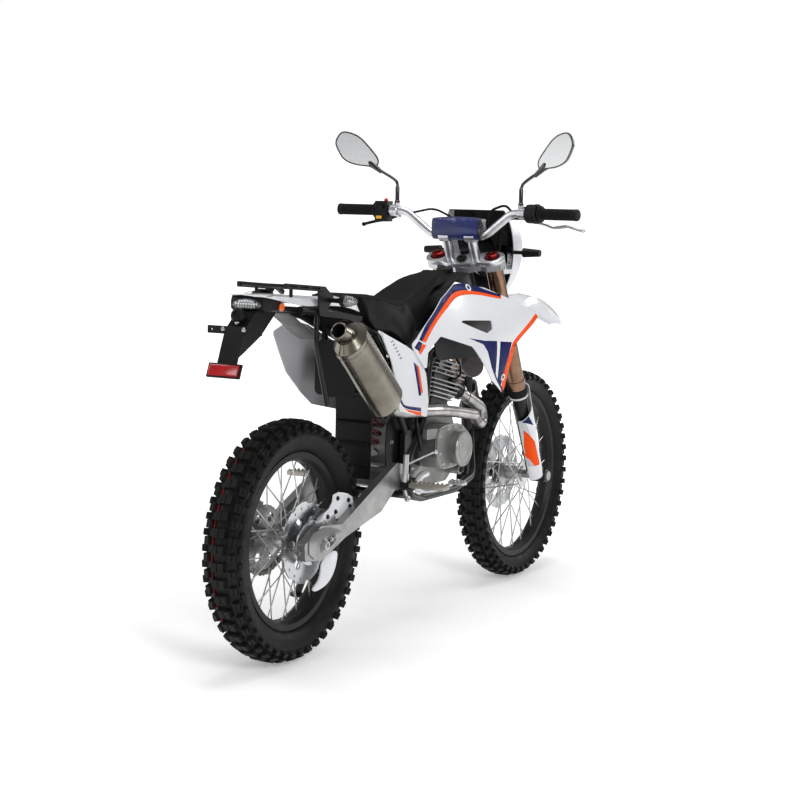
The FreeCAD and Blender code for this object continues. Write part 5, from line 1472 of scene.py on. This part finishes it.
def white_outside():
    """White shell whose faces that look backwards are black."""
    material, tree, shader = blank("mask_shell")
    faces = tree.nodes.new("ShaderNodeTexCoord")
    inside = ramp(tree, dot(tree, faces.outputs["Normal"], BACKWARD), 0.30, 0.42)
    mottle = use_group(tree, grain_group, "Mottle", Scale=500.0)
    shell = mix_colour(tree, mottle, (0.70, 0.71, 0.74), (0.66, 0.67, 0.70))
    tree.links.new(mix_colour(tree, inside, shell, (0.010, 0.010, 0.011)), shader.inputs["Base Color"])
    tree.links.new(ramp(tree, inside, 0, 1, 0.24, 0.55), shader.inputs["Roughness"])
    shader.inputs["Specular IOR Level"].default_value = 0.35
    bump(tree, shader, use_group(tree, grain_group, "Height", Scale=500.0), 0.35, 0.00003)
    return material


nodes["headlight_mask"].material_slots[0].material = white_outside()
bowl = turned("lamp_back", [(0, 52), (20, 50), (22, 42), (48, 30), (60, 10), (62, -10)], steps=32, smooth=40)
bowl = move(bowl, aim((1.205, 0, 1.075), BACKWARD))
plug_box = block("lamp_relay", (1.150, -0.092, 1.118), (1.185, -0.048, 1.168), 0.004, 0.003, BACKWARD)
dress(tidy(joined([bowl, plug_box], "lamp_back")), "black_plastic", "steering")
print("lamp back done")

# %% [markdown]
# ## Engine details
# The right cover is held by a row of bolts and carries a round cap with a fine raised ring. Behind it
# stand the black web of the frame and the brake's silver rods, and above it the bolts of the head.

# %% Clutch cover
cover_metal = finish("cover_metal", (0.30, 0.30, 0.285), (0.25, 0.25, 0.24), 0.34, 0.6, grain=900,
    depth=0.00012, worn=(0.6, 0.6, 0.59), dust=0.05)
cap_ring = turned("cover_cap", [(49.5, -6), (53.5, -4), (54, 0), (52.5, 2), (49, 2.4), (47.8, 0.8), (33, 0.8),
    (32.5, 1.8), (30, 1.8), (29.5, 0.8), (12, 0.8), (11.5, 1.6), (0, 1.6)], steps=56, smooth=25)
settle(move(cap_ring, aim((0.760, -0.1522, 0.514), RIGHTWARD)), "chassis", cover_metal)
cover_edge = [(648, 508), (670, 476), (722, 470), (778, 474), (838, 500), (838, 540), (790, 574), (742, 580),
    (696, 578), (648, 562)]
bolts("cover_bolts", 0.0036, 0.004, facing_right(-128, cover_edge), "silver")
rim_line = plate("cover_rim", [(626, 499), (653, 458), (781, 457), (850, 487), (850, 549), (792, 588),
    (699, 592), (630, 579)], -0.1245, -0.1215, 0.0008, 1)
drain = turned("drain_boss", [(15, -40), (15, 0), (13.5, 1.5), (10.5, 1.5), (10, -5), (0, -5)], steps=28)
drain = move(drain, aim((0.846, -0.098, 0.436), RIGHTWARD))
settle(tidy(joined([rim_line, drain], "cover_rim")), "chassis", cover_metal)
drain_dark = turned("drain_plug", [(9.8, 0), (9.8, 3), (4.5, 4), (4, 1), (0, 1)], steps=6, smooth=20)
dress(move(drain_dark, aim((0.846, -0.1035, 0.436), RIGHTWARD)), "black_metal")
print("clutch cover dressed")

# %% Frame web, hoses and boot
web_outline = [(430, 640), (560, 652), (640, 622), (652, 590), (622, 545), (622, 500), (640, 462), (560, 446),
    (440, 440), (418, 520)]
web = plate("frame_web", web_outline, -0.0705, -0.0665, 0.0015, 1)
boot = turned("brake_boot", [(9.5, 0), (10.5, 4), (8.5, 8), (10, 12), (8, 16), (9.2, 20), (7, 24), (0, 24)],
    steps=20)
boot = move(boot, aim((0.432, -0.131, 0.452), (0, 0, -1)))
hose = pipe("breather_hose", [(636, -66, 700), (620, -92, 676), (604, -98, 640), (596, -92, 600),
    (590, -80, 566)], 6)
second_hose = pipe("drain_hose", [(560, -86, 640), (546, -104, 600), (552, -110, 556), (572, -104, 524)], 4.5)
web_parts = tidy(joined([web, boot, hose, second_hose], "frame_web"))
dress(web_parts, "black_metal")
bolts("web_bolts", 0.0055, 0.005, facing_right(-70.5, [(452, 560), (520, 640), (600, 600), (470, 455)]))
print("web", len(web_parts.data.polygons), "faces")

# %% Brake rods
rod = pipe("brake_rod", [(614, -131, 519), (560, -130, 514), (500, -128, 506), (452, -126, 500)], 3.2)
clevis = pipe("clevis_rod", [(432, -131, 432), (434, -131, 420), (442, -133, 405)], 3.5)
rod_eye = turned("rod_eye", [(0, -8), (7, -6), (8.5, 0), (7, 6), (0, 8)], 16, 60)
move(rod_eye, Matrix.Translation((0.614, -0.131, 0.519)))
clevis_eye = turned("clevis_eye", [(4, -5), (9, -5), (9, 5), (4, 5)], 18, 30, True)
move(clevis_eye, aim((0.444, -0.133, 0.400), RIGHTWARD))
rod_parts = [rod, clevis, rod_eye, clevis_eye]
dress(tidy(joined(rod_parts, "brake_rods")), "silver")
print("brake rods done")

# %% Head bolts and caps
# Places on the cylinder are in its own frame: Z runs up the bore from the crankcase.
CYLINDER = Matrix.Translation((0.790, 0, 0.628)) @ Matrix.Rotation(math.radians(12), 4, "Y")
rocker_cap = turned("rocker_caps", [(15, -4), (15, 8), (13.5, 10), (10, 10), (9.5, 8.5), (0, 8.5)], steps=28)
cap_spots = [(x, y) for x in (-0.036, 0.046) for y in (-0.049, 0.049)]
caps = spread(rocker_cap, [CYLINDER @ aim((x, y, 0.132), (0, y, 0)) for x, y in cap_spots], "rocker_caps")
settle(caps, "chassis", cover_metal)
head_spots = [(-56, 112), (6, 112), (70, 114), (-56, 148), (6, 148), (68, 148)]
head_places = [CYLINDER @ aim((x / 1000, -0.048, z / 1000), RIGHTWARD) for x, z in head_spots]
head_bolt = turned("head_bolts", [(6.2, -2), (6.2, 1), (4.6, 1.2), (4.6, 5), (3.8, 5.8), (0, 5.8)], steps=6,
    smooth=20)
dress(spread(head_bolt, head_places, "head_bolts"), "silver")
print("head bolts and caps done")

# %% Plug lead and port sleeve
lead_points = [(52, -50, 92), (62, -66, 100), (80, -70, 120), (86, -52, 160), (60, -20, 190)]
plug_lead = [CYLINDER @ (Vector(point) / 1000) for point in lead_points]
lead = meshed(smooth_line("plug_lead", plug_lead, 0.0036))
plug_cap = move(turned("plug_cap", [(0, 0), (8.5, 0), (9, 12), (7, 20), (4.5, 24), (0, 24)], steps=20),
    CYLINDER @ aim((0.050, -0.044, 0.088), (0.35, -0.85, 0.3)))
port_way = Vector((0.083, -0.016, -0.042)).normalized()
port = move(turned("port_sleeve", [(18, 0), (26.2, 0), (26.2, 24), (24, 27), (24, 50), (18, 52)], steps=32),
    aim(Vector((0.878, -0.0335, 0.692)), port_way))
dress(tidy(joined([lead, plug_cap, port], "plug_and_port")), "black_metal")
print("plug and port done")

# %% [markdown]
# ## Footpegs and brake pedal
# The pegs and the pedal's toe have rows of teeth for a muddy boot. A tooth is turned with only four
# steps, which makes it a square stub with sloping sides, and copied along both edges of a flat block.

# %% Footpegs


def cleated_peg(name, low, high, teeth):
    """A flat peg with two rows of teeth along its edges; corners in metres, teeth along Y."""
    low, high = Vector(low), Vector(high)
    body = block(name, low, high, 0.002, 0.004, UPWARD)
    tooth = turned(name + "_tooth", [(5.2, 0), (3, 5.5), (0, 5.5)], steps=4, smooth=0)
    places = []
    for index in range(teeth):
        y = low.y + (high.y - low.y) * (index + 0.5) / teeth
        places += [aim((x, y, high.z - 0.0005), UPWARD, math.pi / 4) for x in (low.x + 0.005, high.x - 0.005)]
    return joined([body, spread(tooth, places, name + "_teeth")], name)


peg_steel = finish("peg_steel", (0.42, 0.40, 0.35), (0.30, 0.285, 0.25), 0.42, 0.85, grain=800, dust=0.2)
pegs = []
for y_low, y_high in ((-0.262, -0.150), (0.150, 0.262)):
    pegs.append(cleated_peg("footpeg", (0.418, y_low, 0.437), (0.456, y_high, 0.450), 8))
arms = []
for outline, near, far, edge, times in (
        ([(500, 428), (518, 428), (518, 452), (500, 452)], 0.1063, 0.131, 0.0015, 0),
        ([(418, 428), (518, 430), (518, 452), (418, 452)], 0.122, 0.131, 0.0015, 0),
        ([(424, 426), (450, 426), (454, 440), (450, 456), (424, 456)], 0.128, 0.156, 0.002, 1)):
    arms += side_plates("peg_bracket", outline, near, far, edge, times)
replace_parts(settle(tidy(joined(pegs, "cleated_pegs")), "chassis", peg_steel), "footpegs")
dress(tidy(joined(arms, "peg_brackets")), "black_metal")
print("pegs done")

# %% Brake pedal and heel plate
pedal_arm = pipe("pedal_arm", [(470, -141, 438), (500, -141, 416), (536, -150, 412), (566, -182, 420),
    (582, -206, 434)], 6)
pedal_root = move(turned("pedal_root", [(4, -8), (13, -8), (13, 8), (4, 8)], 24, 30, True),
    aim((0.470, -0.1395, 0.438), RIGHTWARD))
toe = cleated_peg("pedal_toe", (0.566, -0.250, 0.434), (0.590, -0.200, 0.443), 4)
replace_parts(settle(tidy(joined([pedal_arm, pedal_root, toe], "brake_foot_pedal")), "chassis",
    finishes["silver"]), "brake_pedal")
heel = plate("heel_plate", [(566, 468), (521, 472), (484, 455), (476, 432), (498, 404), (526, 406),
    (510, 436), (530, 452), (567, 452)], -0.1385, -0.1325, 0.0015, 2)
dress(heel, "silver")
print("pedal done")

# %% [markdown]
# ## Tail lamp, reflector and indicators
# The lamp is a black moulded housing with an oval clear lens over small bright cells. The reflector
# is a red block of tiny prisms in a black frame, and each indicator a pointed clear lens.

# %% Lamp housing
housing = [(-207, 960), (-207, 996), (-196, 1001), (-150, 1003), (-120, 994), (-120, 974), (-160, 962)]
shell_box = plate("lamp_housing", housing, -0.050, 0.050, 0.004, 1)
plate_lamp = turned("plate_lamp", [(0, 0), (17.5, 0), (19, 6), (19, 18), (15, 24), (8, 26), (7.5, 23),
    (0, 23)], steps=28)
plate_lamp = move(plate_lamp, aim((-0.232, 0.002, 0.948), (-0.80, 0, 0.30)))
lamp_shell = tidy(joined([shell_box, plate_lamp], "lamp_housing"))
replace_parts(dress(lamp_shell, "black_plastic"), "tail_lamp")
print("housing", len(lamp_shell.data.polygons), "faces")

# %% Lamp lens and cells
oval = [(44 * math.cos(a) * (1 - 0.18 * math.sin(a)), 13.5 * math.sin(a)) for a in angles(40)]
eye = dome(outline_mesh("lamp_lens", oval, 0.0), ((0.003, 1.0), (0.003, 0.90), (0.0015, 0.66)), 0, 1, 0)
lens_place = Matrix.Translation((-0.2065, 0, 0.981)) @ Matrix.Rotation(math.pi / 2, 4, "Z")
dress(tidy(move(eye, lens_place), smooth=50), "lens_clear")
cell = turned("lamp_cells", [(0, 0.6), (1.8, 0.6), (3, 1.6), (3.6, 1.6), (3.6, -1)], steps=14, smooth=40)
cells = [aim((-0.2072, y / 1000, z / 1000), BACKWARD) for z, reach in ((981, 32), (988, 20), (974, 24))
    for y in range(-reach, reach + 1, 8)]
chrome = finish("lamp_chrome", (0.80, 0.81, 0.82), (0.68, 0.69, 0.70), 0.14, 1.0, grain=600, dust=0.0)
settle(spread(cell, cells, "lamp_cells"), "chassis", chrome)
print("tail lamp done")

# %% Red reflector
hang = Vector((-46, 0, -115)).normalized()
middle = Vector((-0.308, 0, 0.800)) - hang * 0.014
prism_red = finish("prism_red", (0.46, 0.006, 0.009), (0.26, 0.003, 0.005), 0.14, depth=0.0006, grain=1400,
    dust=0.0, coat=0.4)
red_face = block("reflector_face", (-0.0452, -0.0150, 0.0), (0.0452, 0.0150, 0.0085), 0.003, 0.001, UPWARD)
frame_box = block("reflector_frame", (-0.0500, -0.0190, -0.0005), (0.0500, 0.0190, 0.0070), 0.004, 0.0025,
    UPWARD)
stand_up = Matrix((LEFTWARD, tuple(-hang), (hang.z, 0, -hang.x))).transposed().to_4x4()
stand_up.translation = middle
settle(move(red_face, stand_up), "chassis", prism_red)
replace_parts(dress(move(frame_box, stand_up), "black_plastic"), "rear_reflector")
print("reflector done")

# %% Side reflectors, indicators and plate bolts
amber = finish("amber_lens", (0.72, 0.13, 0.01), (0.60, 0.09, 0.008), 0.16, depth=0.0004, grain=900, dust=0.0,
    coat=0.4)
round_lens = turned("side_reflectors", [(0, 4), (10, 3.5), (11.5, 1.5), (11.5, -3)], steps=24)
side_places = [aim((-0.120, side * 0.0515, 0.972), (0, side, 0)) for side, _ in SIDES]
settle(spread(round_lens, side_places, "side_reflectors"), "chassis", amber)
stalk = turned("indicator_body", [(6, 0), (6.5, 22), (8, 30), (15, 36), (16.5, 44), (15, 50), (0, 51)],
    steps=24)
pointed = turned("indicator_lens", [(15, 48), (15.5, 52), (13.5, 66), (9, 78), (3.5, 83), (0, 83.5)],
    steps=24, smooth=50)
spots = [aim((0.050, side * 0.0965, 0.985), (0, side, 0)) for side, _ in SIDES]
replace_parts(dress(spread(stalk, spots, "indicator_bodies"), "black_plastic"), "rear_indicators")
dress(spread(pointed, spots, "indicator_lenses"), "lens_clear")
bolts("plate_bolts", 0.0050, 0.004, [(-263, -30, 918, (-1, 0, 0.35)), (-263, 34, 918, (-1, 0, 0.35)),
    (-250, 0, 936, (-1, 0, 0.6))], "silver")
print("rear lights done")

# %% [markdown]
# ## Muffler ends and seams
# The outlet has a thick rolled lip round a dark bore, the end cap meets the sleeve in a V-shaped
# joint, and a fold runs along the sleeve. The joint and fold are thin lines pressed on the metal.

# %% Outlet lip and bore
outlet_way = Vector((-60, 0, 23)).normalized()
outlet = Vector((0.022, -0.141, 0.908))
lip = turned("muffler_lip", [(19, -4), (19, 1.5), (20.5, 3.2), (22.5, 3.2), (24, 1), (24, -3), (22, -6)],
    steps=44, smooth=60)
dress(move(lip, aim(outlet, outlet_way)), "muffler")
soot = finish("soot_black", (0.006, 0.006, 0.006), (0.012, 0.011, 0.010), 0.8, dust=0.0, shine=0.1)
bore_tube = turned("muffler_bore", [(18.9, 1), (18.6, -40), (0, -42)], steps=32)
settle(move(bore_tube, aim(outlet, outlet_way)), "chassis", soot)
print("outlet done")

# %% Joint and fold
MUFFLER_REAR, MUFFLER_FRONT = Vector((0.075, -0.141, 0.889)), Vector((0.305, -0.140, 0.686))
muffler_way = (MUFFLER_FRONT - MUFFLER_REAR).normalized()
muffler_up = Vector(LEFTWARD).cross(muffler_way).normalized()
HALF_WIDE, HALF_HIGH = 0.050, 0.064


def on_sleeve(depth, degrees):
    """A point of the oval sleeve, a depth in front of its rear end."""
    a = math.radians(degrees)
    round_it = Vector(LEFTWARD) * math.cos(a) * HALF_WIDE + muffler_up * math.sin(a) * HALF_HIGH
    return MUFFLER_REAR + muffler_way * depth + round_it


muffler_mesh = upright_copy("muffler", "muffler_target")
seam_sets = []
shares = [part / 6 for part in range(7)]
corners = ((-170, 0.028), (-95, 0.062), (-20, 0.028), (70, 0.030), (190, 0.028))
for (turn_from, depth_from), (turn_to, depth_to) in zip(corners, corners[1:]):
    depths = [depth_from + (depth_to - depth_from) * share for share in shares]
    turns = [turn_from + (turn_to - turn_from) * share for share in shares]
    ring_points = [on_sleeve(depth, turn) for depth, turn in zip(depths, turns)]
    seam_sets.append(laid_line("muffler_joint", ring_points, 0.0011, muffler_mesh))
for turn in (-95, 20):
    fold = [on_sleeve(0.064 + 0.03 * n, turn) for n in range(8)]
    seam_sets.append(laid_line("muffler_fold", fold, 0.0010, muffler_mesh))
bpy.data.objects.remove(muffler_mesh)
seam_steel = finish("seam_steel", (0.30, 0.275, 0.23), (0.20, 0.185, 0.155), 0.3, 0.95, grain=500, dust=0.0)
settle(joined(seam_sets, "muffler_seams"), "chassis", seam_steel)
print("muffler seams done")

# %% [markdown]
# ## Rear axle zone
# The end of the swingarm is a cast block with a sunken slot for the axle and the chain adjuster.
# In front of it a white plate guards the caliper, a bright carrier holds it, and a white fin hangs
# below the disc. Each is cut to an outline and stands a few millimetres clear of the disc.

# %% Axle blocks
block_outline = [(-73, 369), (-71, 299), (27, 300), (96, 334), (98, 356), (40, 374), (-6, 378)]
oval_ring = [(28 + 44 * math.cos(a), 333 + 17 * math.sin(a) + 14 * math.cos(a)) for a in angles(28)]
inner_oval = [(x * 0.80 + 5.2, (z - 333) * 0.74 + 334) for x, z in oval_ring]
adjuster = turned("adjuster_bolt", [(0, 0), (4, 0), (4, 22), (7.5, 22), (7.5, 30), (0, 30)], steps=6,
    smooth=20)
adjusters = spread(adjuster, [aim((-0.078, side * 0.105, 0.324), BACKWARD) for side, _ in SIDES], "adjusters")
axle_blocks = side_plates("axle_block", block_outline, 0.1180, 0.1215, 0.0014, 1)
axle_blocks += side_plates("axle_slot", oval_ring, 0.1208, 0.1238, 0.001, 0) + [adjusters]
arm_grey = finish("swingarm_grey", (0.36, 0.36, 0.355), (0.27, 0.27, 0.268), 0.34, 0.85, grain=900, dust=0.04,
    brushed=True)
settle(tidy(joined(axle_blocks, "axle_blocks")), "chassis", arm_grey)
nodes["swingarm"].material_slots[0].material = arm_grey
dark_slots = side_plates("axle_recess", inner_oval, 0.1236, 0.1241, 0.0002, 0)
dress(joined(dark_slots, "axle_recesses"), "black_metal")
ARM_FACE = 124


def arm_end_places(points):
    """The same places on the outer faces of both ends of the swingarm."""
    return [(x, side * ARM_FACE, z, (0, side, 0)) for side, _ in SIDES for x, z in points]


bolts("axle_nuts", 0.0125, 0.009, arm_end_places([(0, REAR_RADIUS * 1000)]), "silver")
bolts("slot_bolts", 0.0050, 0.005, arm_end_places([(34, 343), (54, 349)]), "silver")
print("axle blocks done")

# %% Carrier and guards
carrier = plate("caliper_carrier", [(-2, 398), (-46, 382), (-74, 347), (-73, 312), (-42, 279), (18, 269),
    (-34, 304), (-36, 341), (-1, 376), (36, 386)], -0.0835, -0.0775, 0.0015, 1)
carrier_arm = plate("carrier_arm", [(10, 398), (96, 424), (104, 398), (40, 372), (12, 372)], -0.0905, -0.0845,
    0.0015, 1)
dress(tidy(joined([carrier, carrier_arm], "caliper_carrier")), "silver")
guard_plate = plate("caliper_guard", [(100, 462), (196, 442), (209, 412), (154, 382), (45, 385), (37, 403),
    (90, 423)], -0.0915, -0.0880, 0.001, 1)
fin_guard = plate("disc_fin", [(129, 301), (45, 286), (39, 230), (-6, 206), (17, 196), (86, 210), (123, 253)],
    -0.0900, -0.0850, 0.0015, 2)
dress(tidy(joined([guard_plate, fin_guard], "disc_guards")), "white")
guard_bolts = [(118, 440), (176, 428), (184, 410), (108, 404), (66, 396)]
bolts("guard_bolts", 0.0052, 0.004, facing_right(-91.5, guard_bolts), "black_metal")
print("rear axle zone done")

# %% [markdown]
# ## Mudguard liner
# Behind the engine a black liner keeps mud off. It follows the lower CAD strip, with rounded edges
# and ribs across it. A grey tongue hangs under the rear fender, shorter and narrower than its strip.

# %% Liner


def bent_sheet(name, path, half, thick):
    """A sheet bent along a path in the side plane; millimetres, half is its half width."""
    x, z = path[0]
    obj = one_point(name, x / 1000, -half / 1000, z / 1000)
    extrude(0, 2 * half / 1000, 0)
    bpy.ops.mesh.select_all(action="SELECT")
    for after in path[1:]:
        extrude((after[0] - x) / 1000, 0, (after[1] - z) / 1000)
        x, z = after
    done()
    tidy(obj, smooth=50)
    apply_modifier(obj, "SOLIDIFY", thickness=thick / 1000, offset=0.0)
    return bevel(obj, 0.0008, 1, 60)


lower_liner = bent_sheet("liner", rounded([(350, 460), (357, 600), (352, 696), (330, 730)], 2), 60, 3)
ribs = [bent_sheet("liner_rib", [(346, z), (352, z + 6)], 52, 5) for z in (500, 560, 620)]
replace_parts(dress(tidy(joined([lower_liner] + ribs, "mud_liner")), "black_plastic"), "inner_mudguard")
tongue_grey = finish("tongue_grey", (0.070, 0.070, 0.072), (0.055, 0.055, 0.057), 0.45, dust=0.1, shine=0.35)
tongue = bent_sheet("fender_tongue", rounded([(110, 872), (60, 892), (-20, 938), (-60, 952)], 2), 34, 3)
settle(tongue, "chassis", tongue_grey)
print("liner done")

# %% [markdown]
# ## Prints on the fork guards
# The fork guards carry a printed panel: a pale grey field, an orange blade and a navy patch, set in
# white. The film helper cuts them from the guard's own curve, on the outer side of each leg.

# %% Guard films and collars
grey_film = finish("grey_print", (0.52, 0.53, 0.55), (0.47, 0.48, 0.50), 0.28, depth=0.00002, dust=0.0,
    coat=0.15)
guard_prints = {
    "guard_field": ([(1250, 509), (1296, 399), (1325, 388), (1357, 389), (1344, 430), (1300, 500),
        (1268, 548)], grey_film, 0.0002),
    "guard_orange": ([(1250, 540), (1240, 522), (1354, 390), (1374, 394), (1326, 475)], orange_film, 0.0005),
    "guard_navy": ([(1270, 566), (1259, 544), (1304, 532)], navy_film, 0.0005),
}
for side, word in SIDES:
    for label, (outline, material, lift) in guard_prints.items():
        film("%s_%s" % (label, word), "fork_guards", outline, material, side, "steering", lift)
collar = turned("guard_collars", [(22.5, -3), (30.5, -3), (32, 0), (30.5, 3), (22.5, 3)], steps=40)
dress(spread(collar, leg_places(0.3045), "guard_collars"), "white", "steering")
wiper = turned("fork_wipers", [(22.5, 0), (30, 0), (31, 10), (29, 24), (22.5, 26)], steps=40)
dress(spread(wiper, leg_places(0.3085), "fork_wipers"), "rubber", "steering")
print("fork guards dressed")

# %% [markdown]
# ## Fasteners, vents and edges on the panels
# The shroud is held by two dark bolts in pale rings, the side panel has a field of small vent dots
# and a raised white edge along its rear. Thin navy lines follow the lower edge of the shroud.

# %% Bolts, dots and lines


def disc_outline(x, z, radius, around=20):
    """A round outline, in millimetres."""
    return [(x + radius * math.cos(a), z + radius * math.sin(a)) for a in angles(around)]


vent_dots = [(354 + 7.8 * row + 7.5 * column, 858 - 9.8 * row + 2 * column) for row in range(6)
    for column in range(2)]
edge_line = band([(298, 899), (335, 779), (349, 665), (489, 630)],
    [(304, 899), (341, 779), (355, 670), (489, 636)])
lower_line = band([(894, 752), (931, 709), (998, 667)], [(899, 756), (934, 714), (1000, 673)])
for side, word in SIDES:
    shroud_name, panel_name = "shroud_" + word, "side_panel_" + word
    film("panel_edge_" + word, panel_name, edge_line, white_film, side, lift=0.0016)
    film("lower_line_" + word, shroud_name, lower_line, navy_film, side, lift=0.0006)
    for number, (x, z) in enumerate(((833, 996), (972, 717))):
        for label, size, look, lift in (("ring", 11, white_film, 0.0012), ("dark", 5.5, dark_print, 0.0018)):
            film("bolt_%s_%d_%s" % (label, number, word), shroud_name, disc_outline(x, z, size), look, side,
                lift=lift)
    film("vent_dots_" + word, panel_name, [disc_outline(x, z, 2.4, 8) for x, z in vent_dots], dark_print,
        side, lift=0.0006)
print("panel details done")

# %% Duct behind the cut-out
duct_outline = [(745, 915), (1020, 902), (1028, 862), (975, 842), (745, 885)]
ducts = side_plates("shroud_duct", duct_outline, 0.1165, 0.1195, 0.0008, 0)
dress(tidy(joined(ducts, "shroud_ducts")), "black_plastic")
print("duct done")

# %% Boxes and finish
visual_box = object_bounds()
for label, (low, high) in (("cad", cad_box), ("visual", visual_box)):
    print(label, [round(value, 3) for value in high - low])
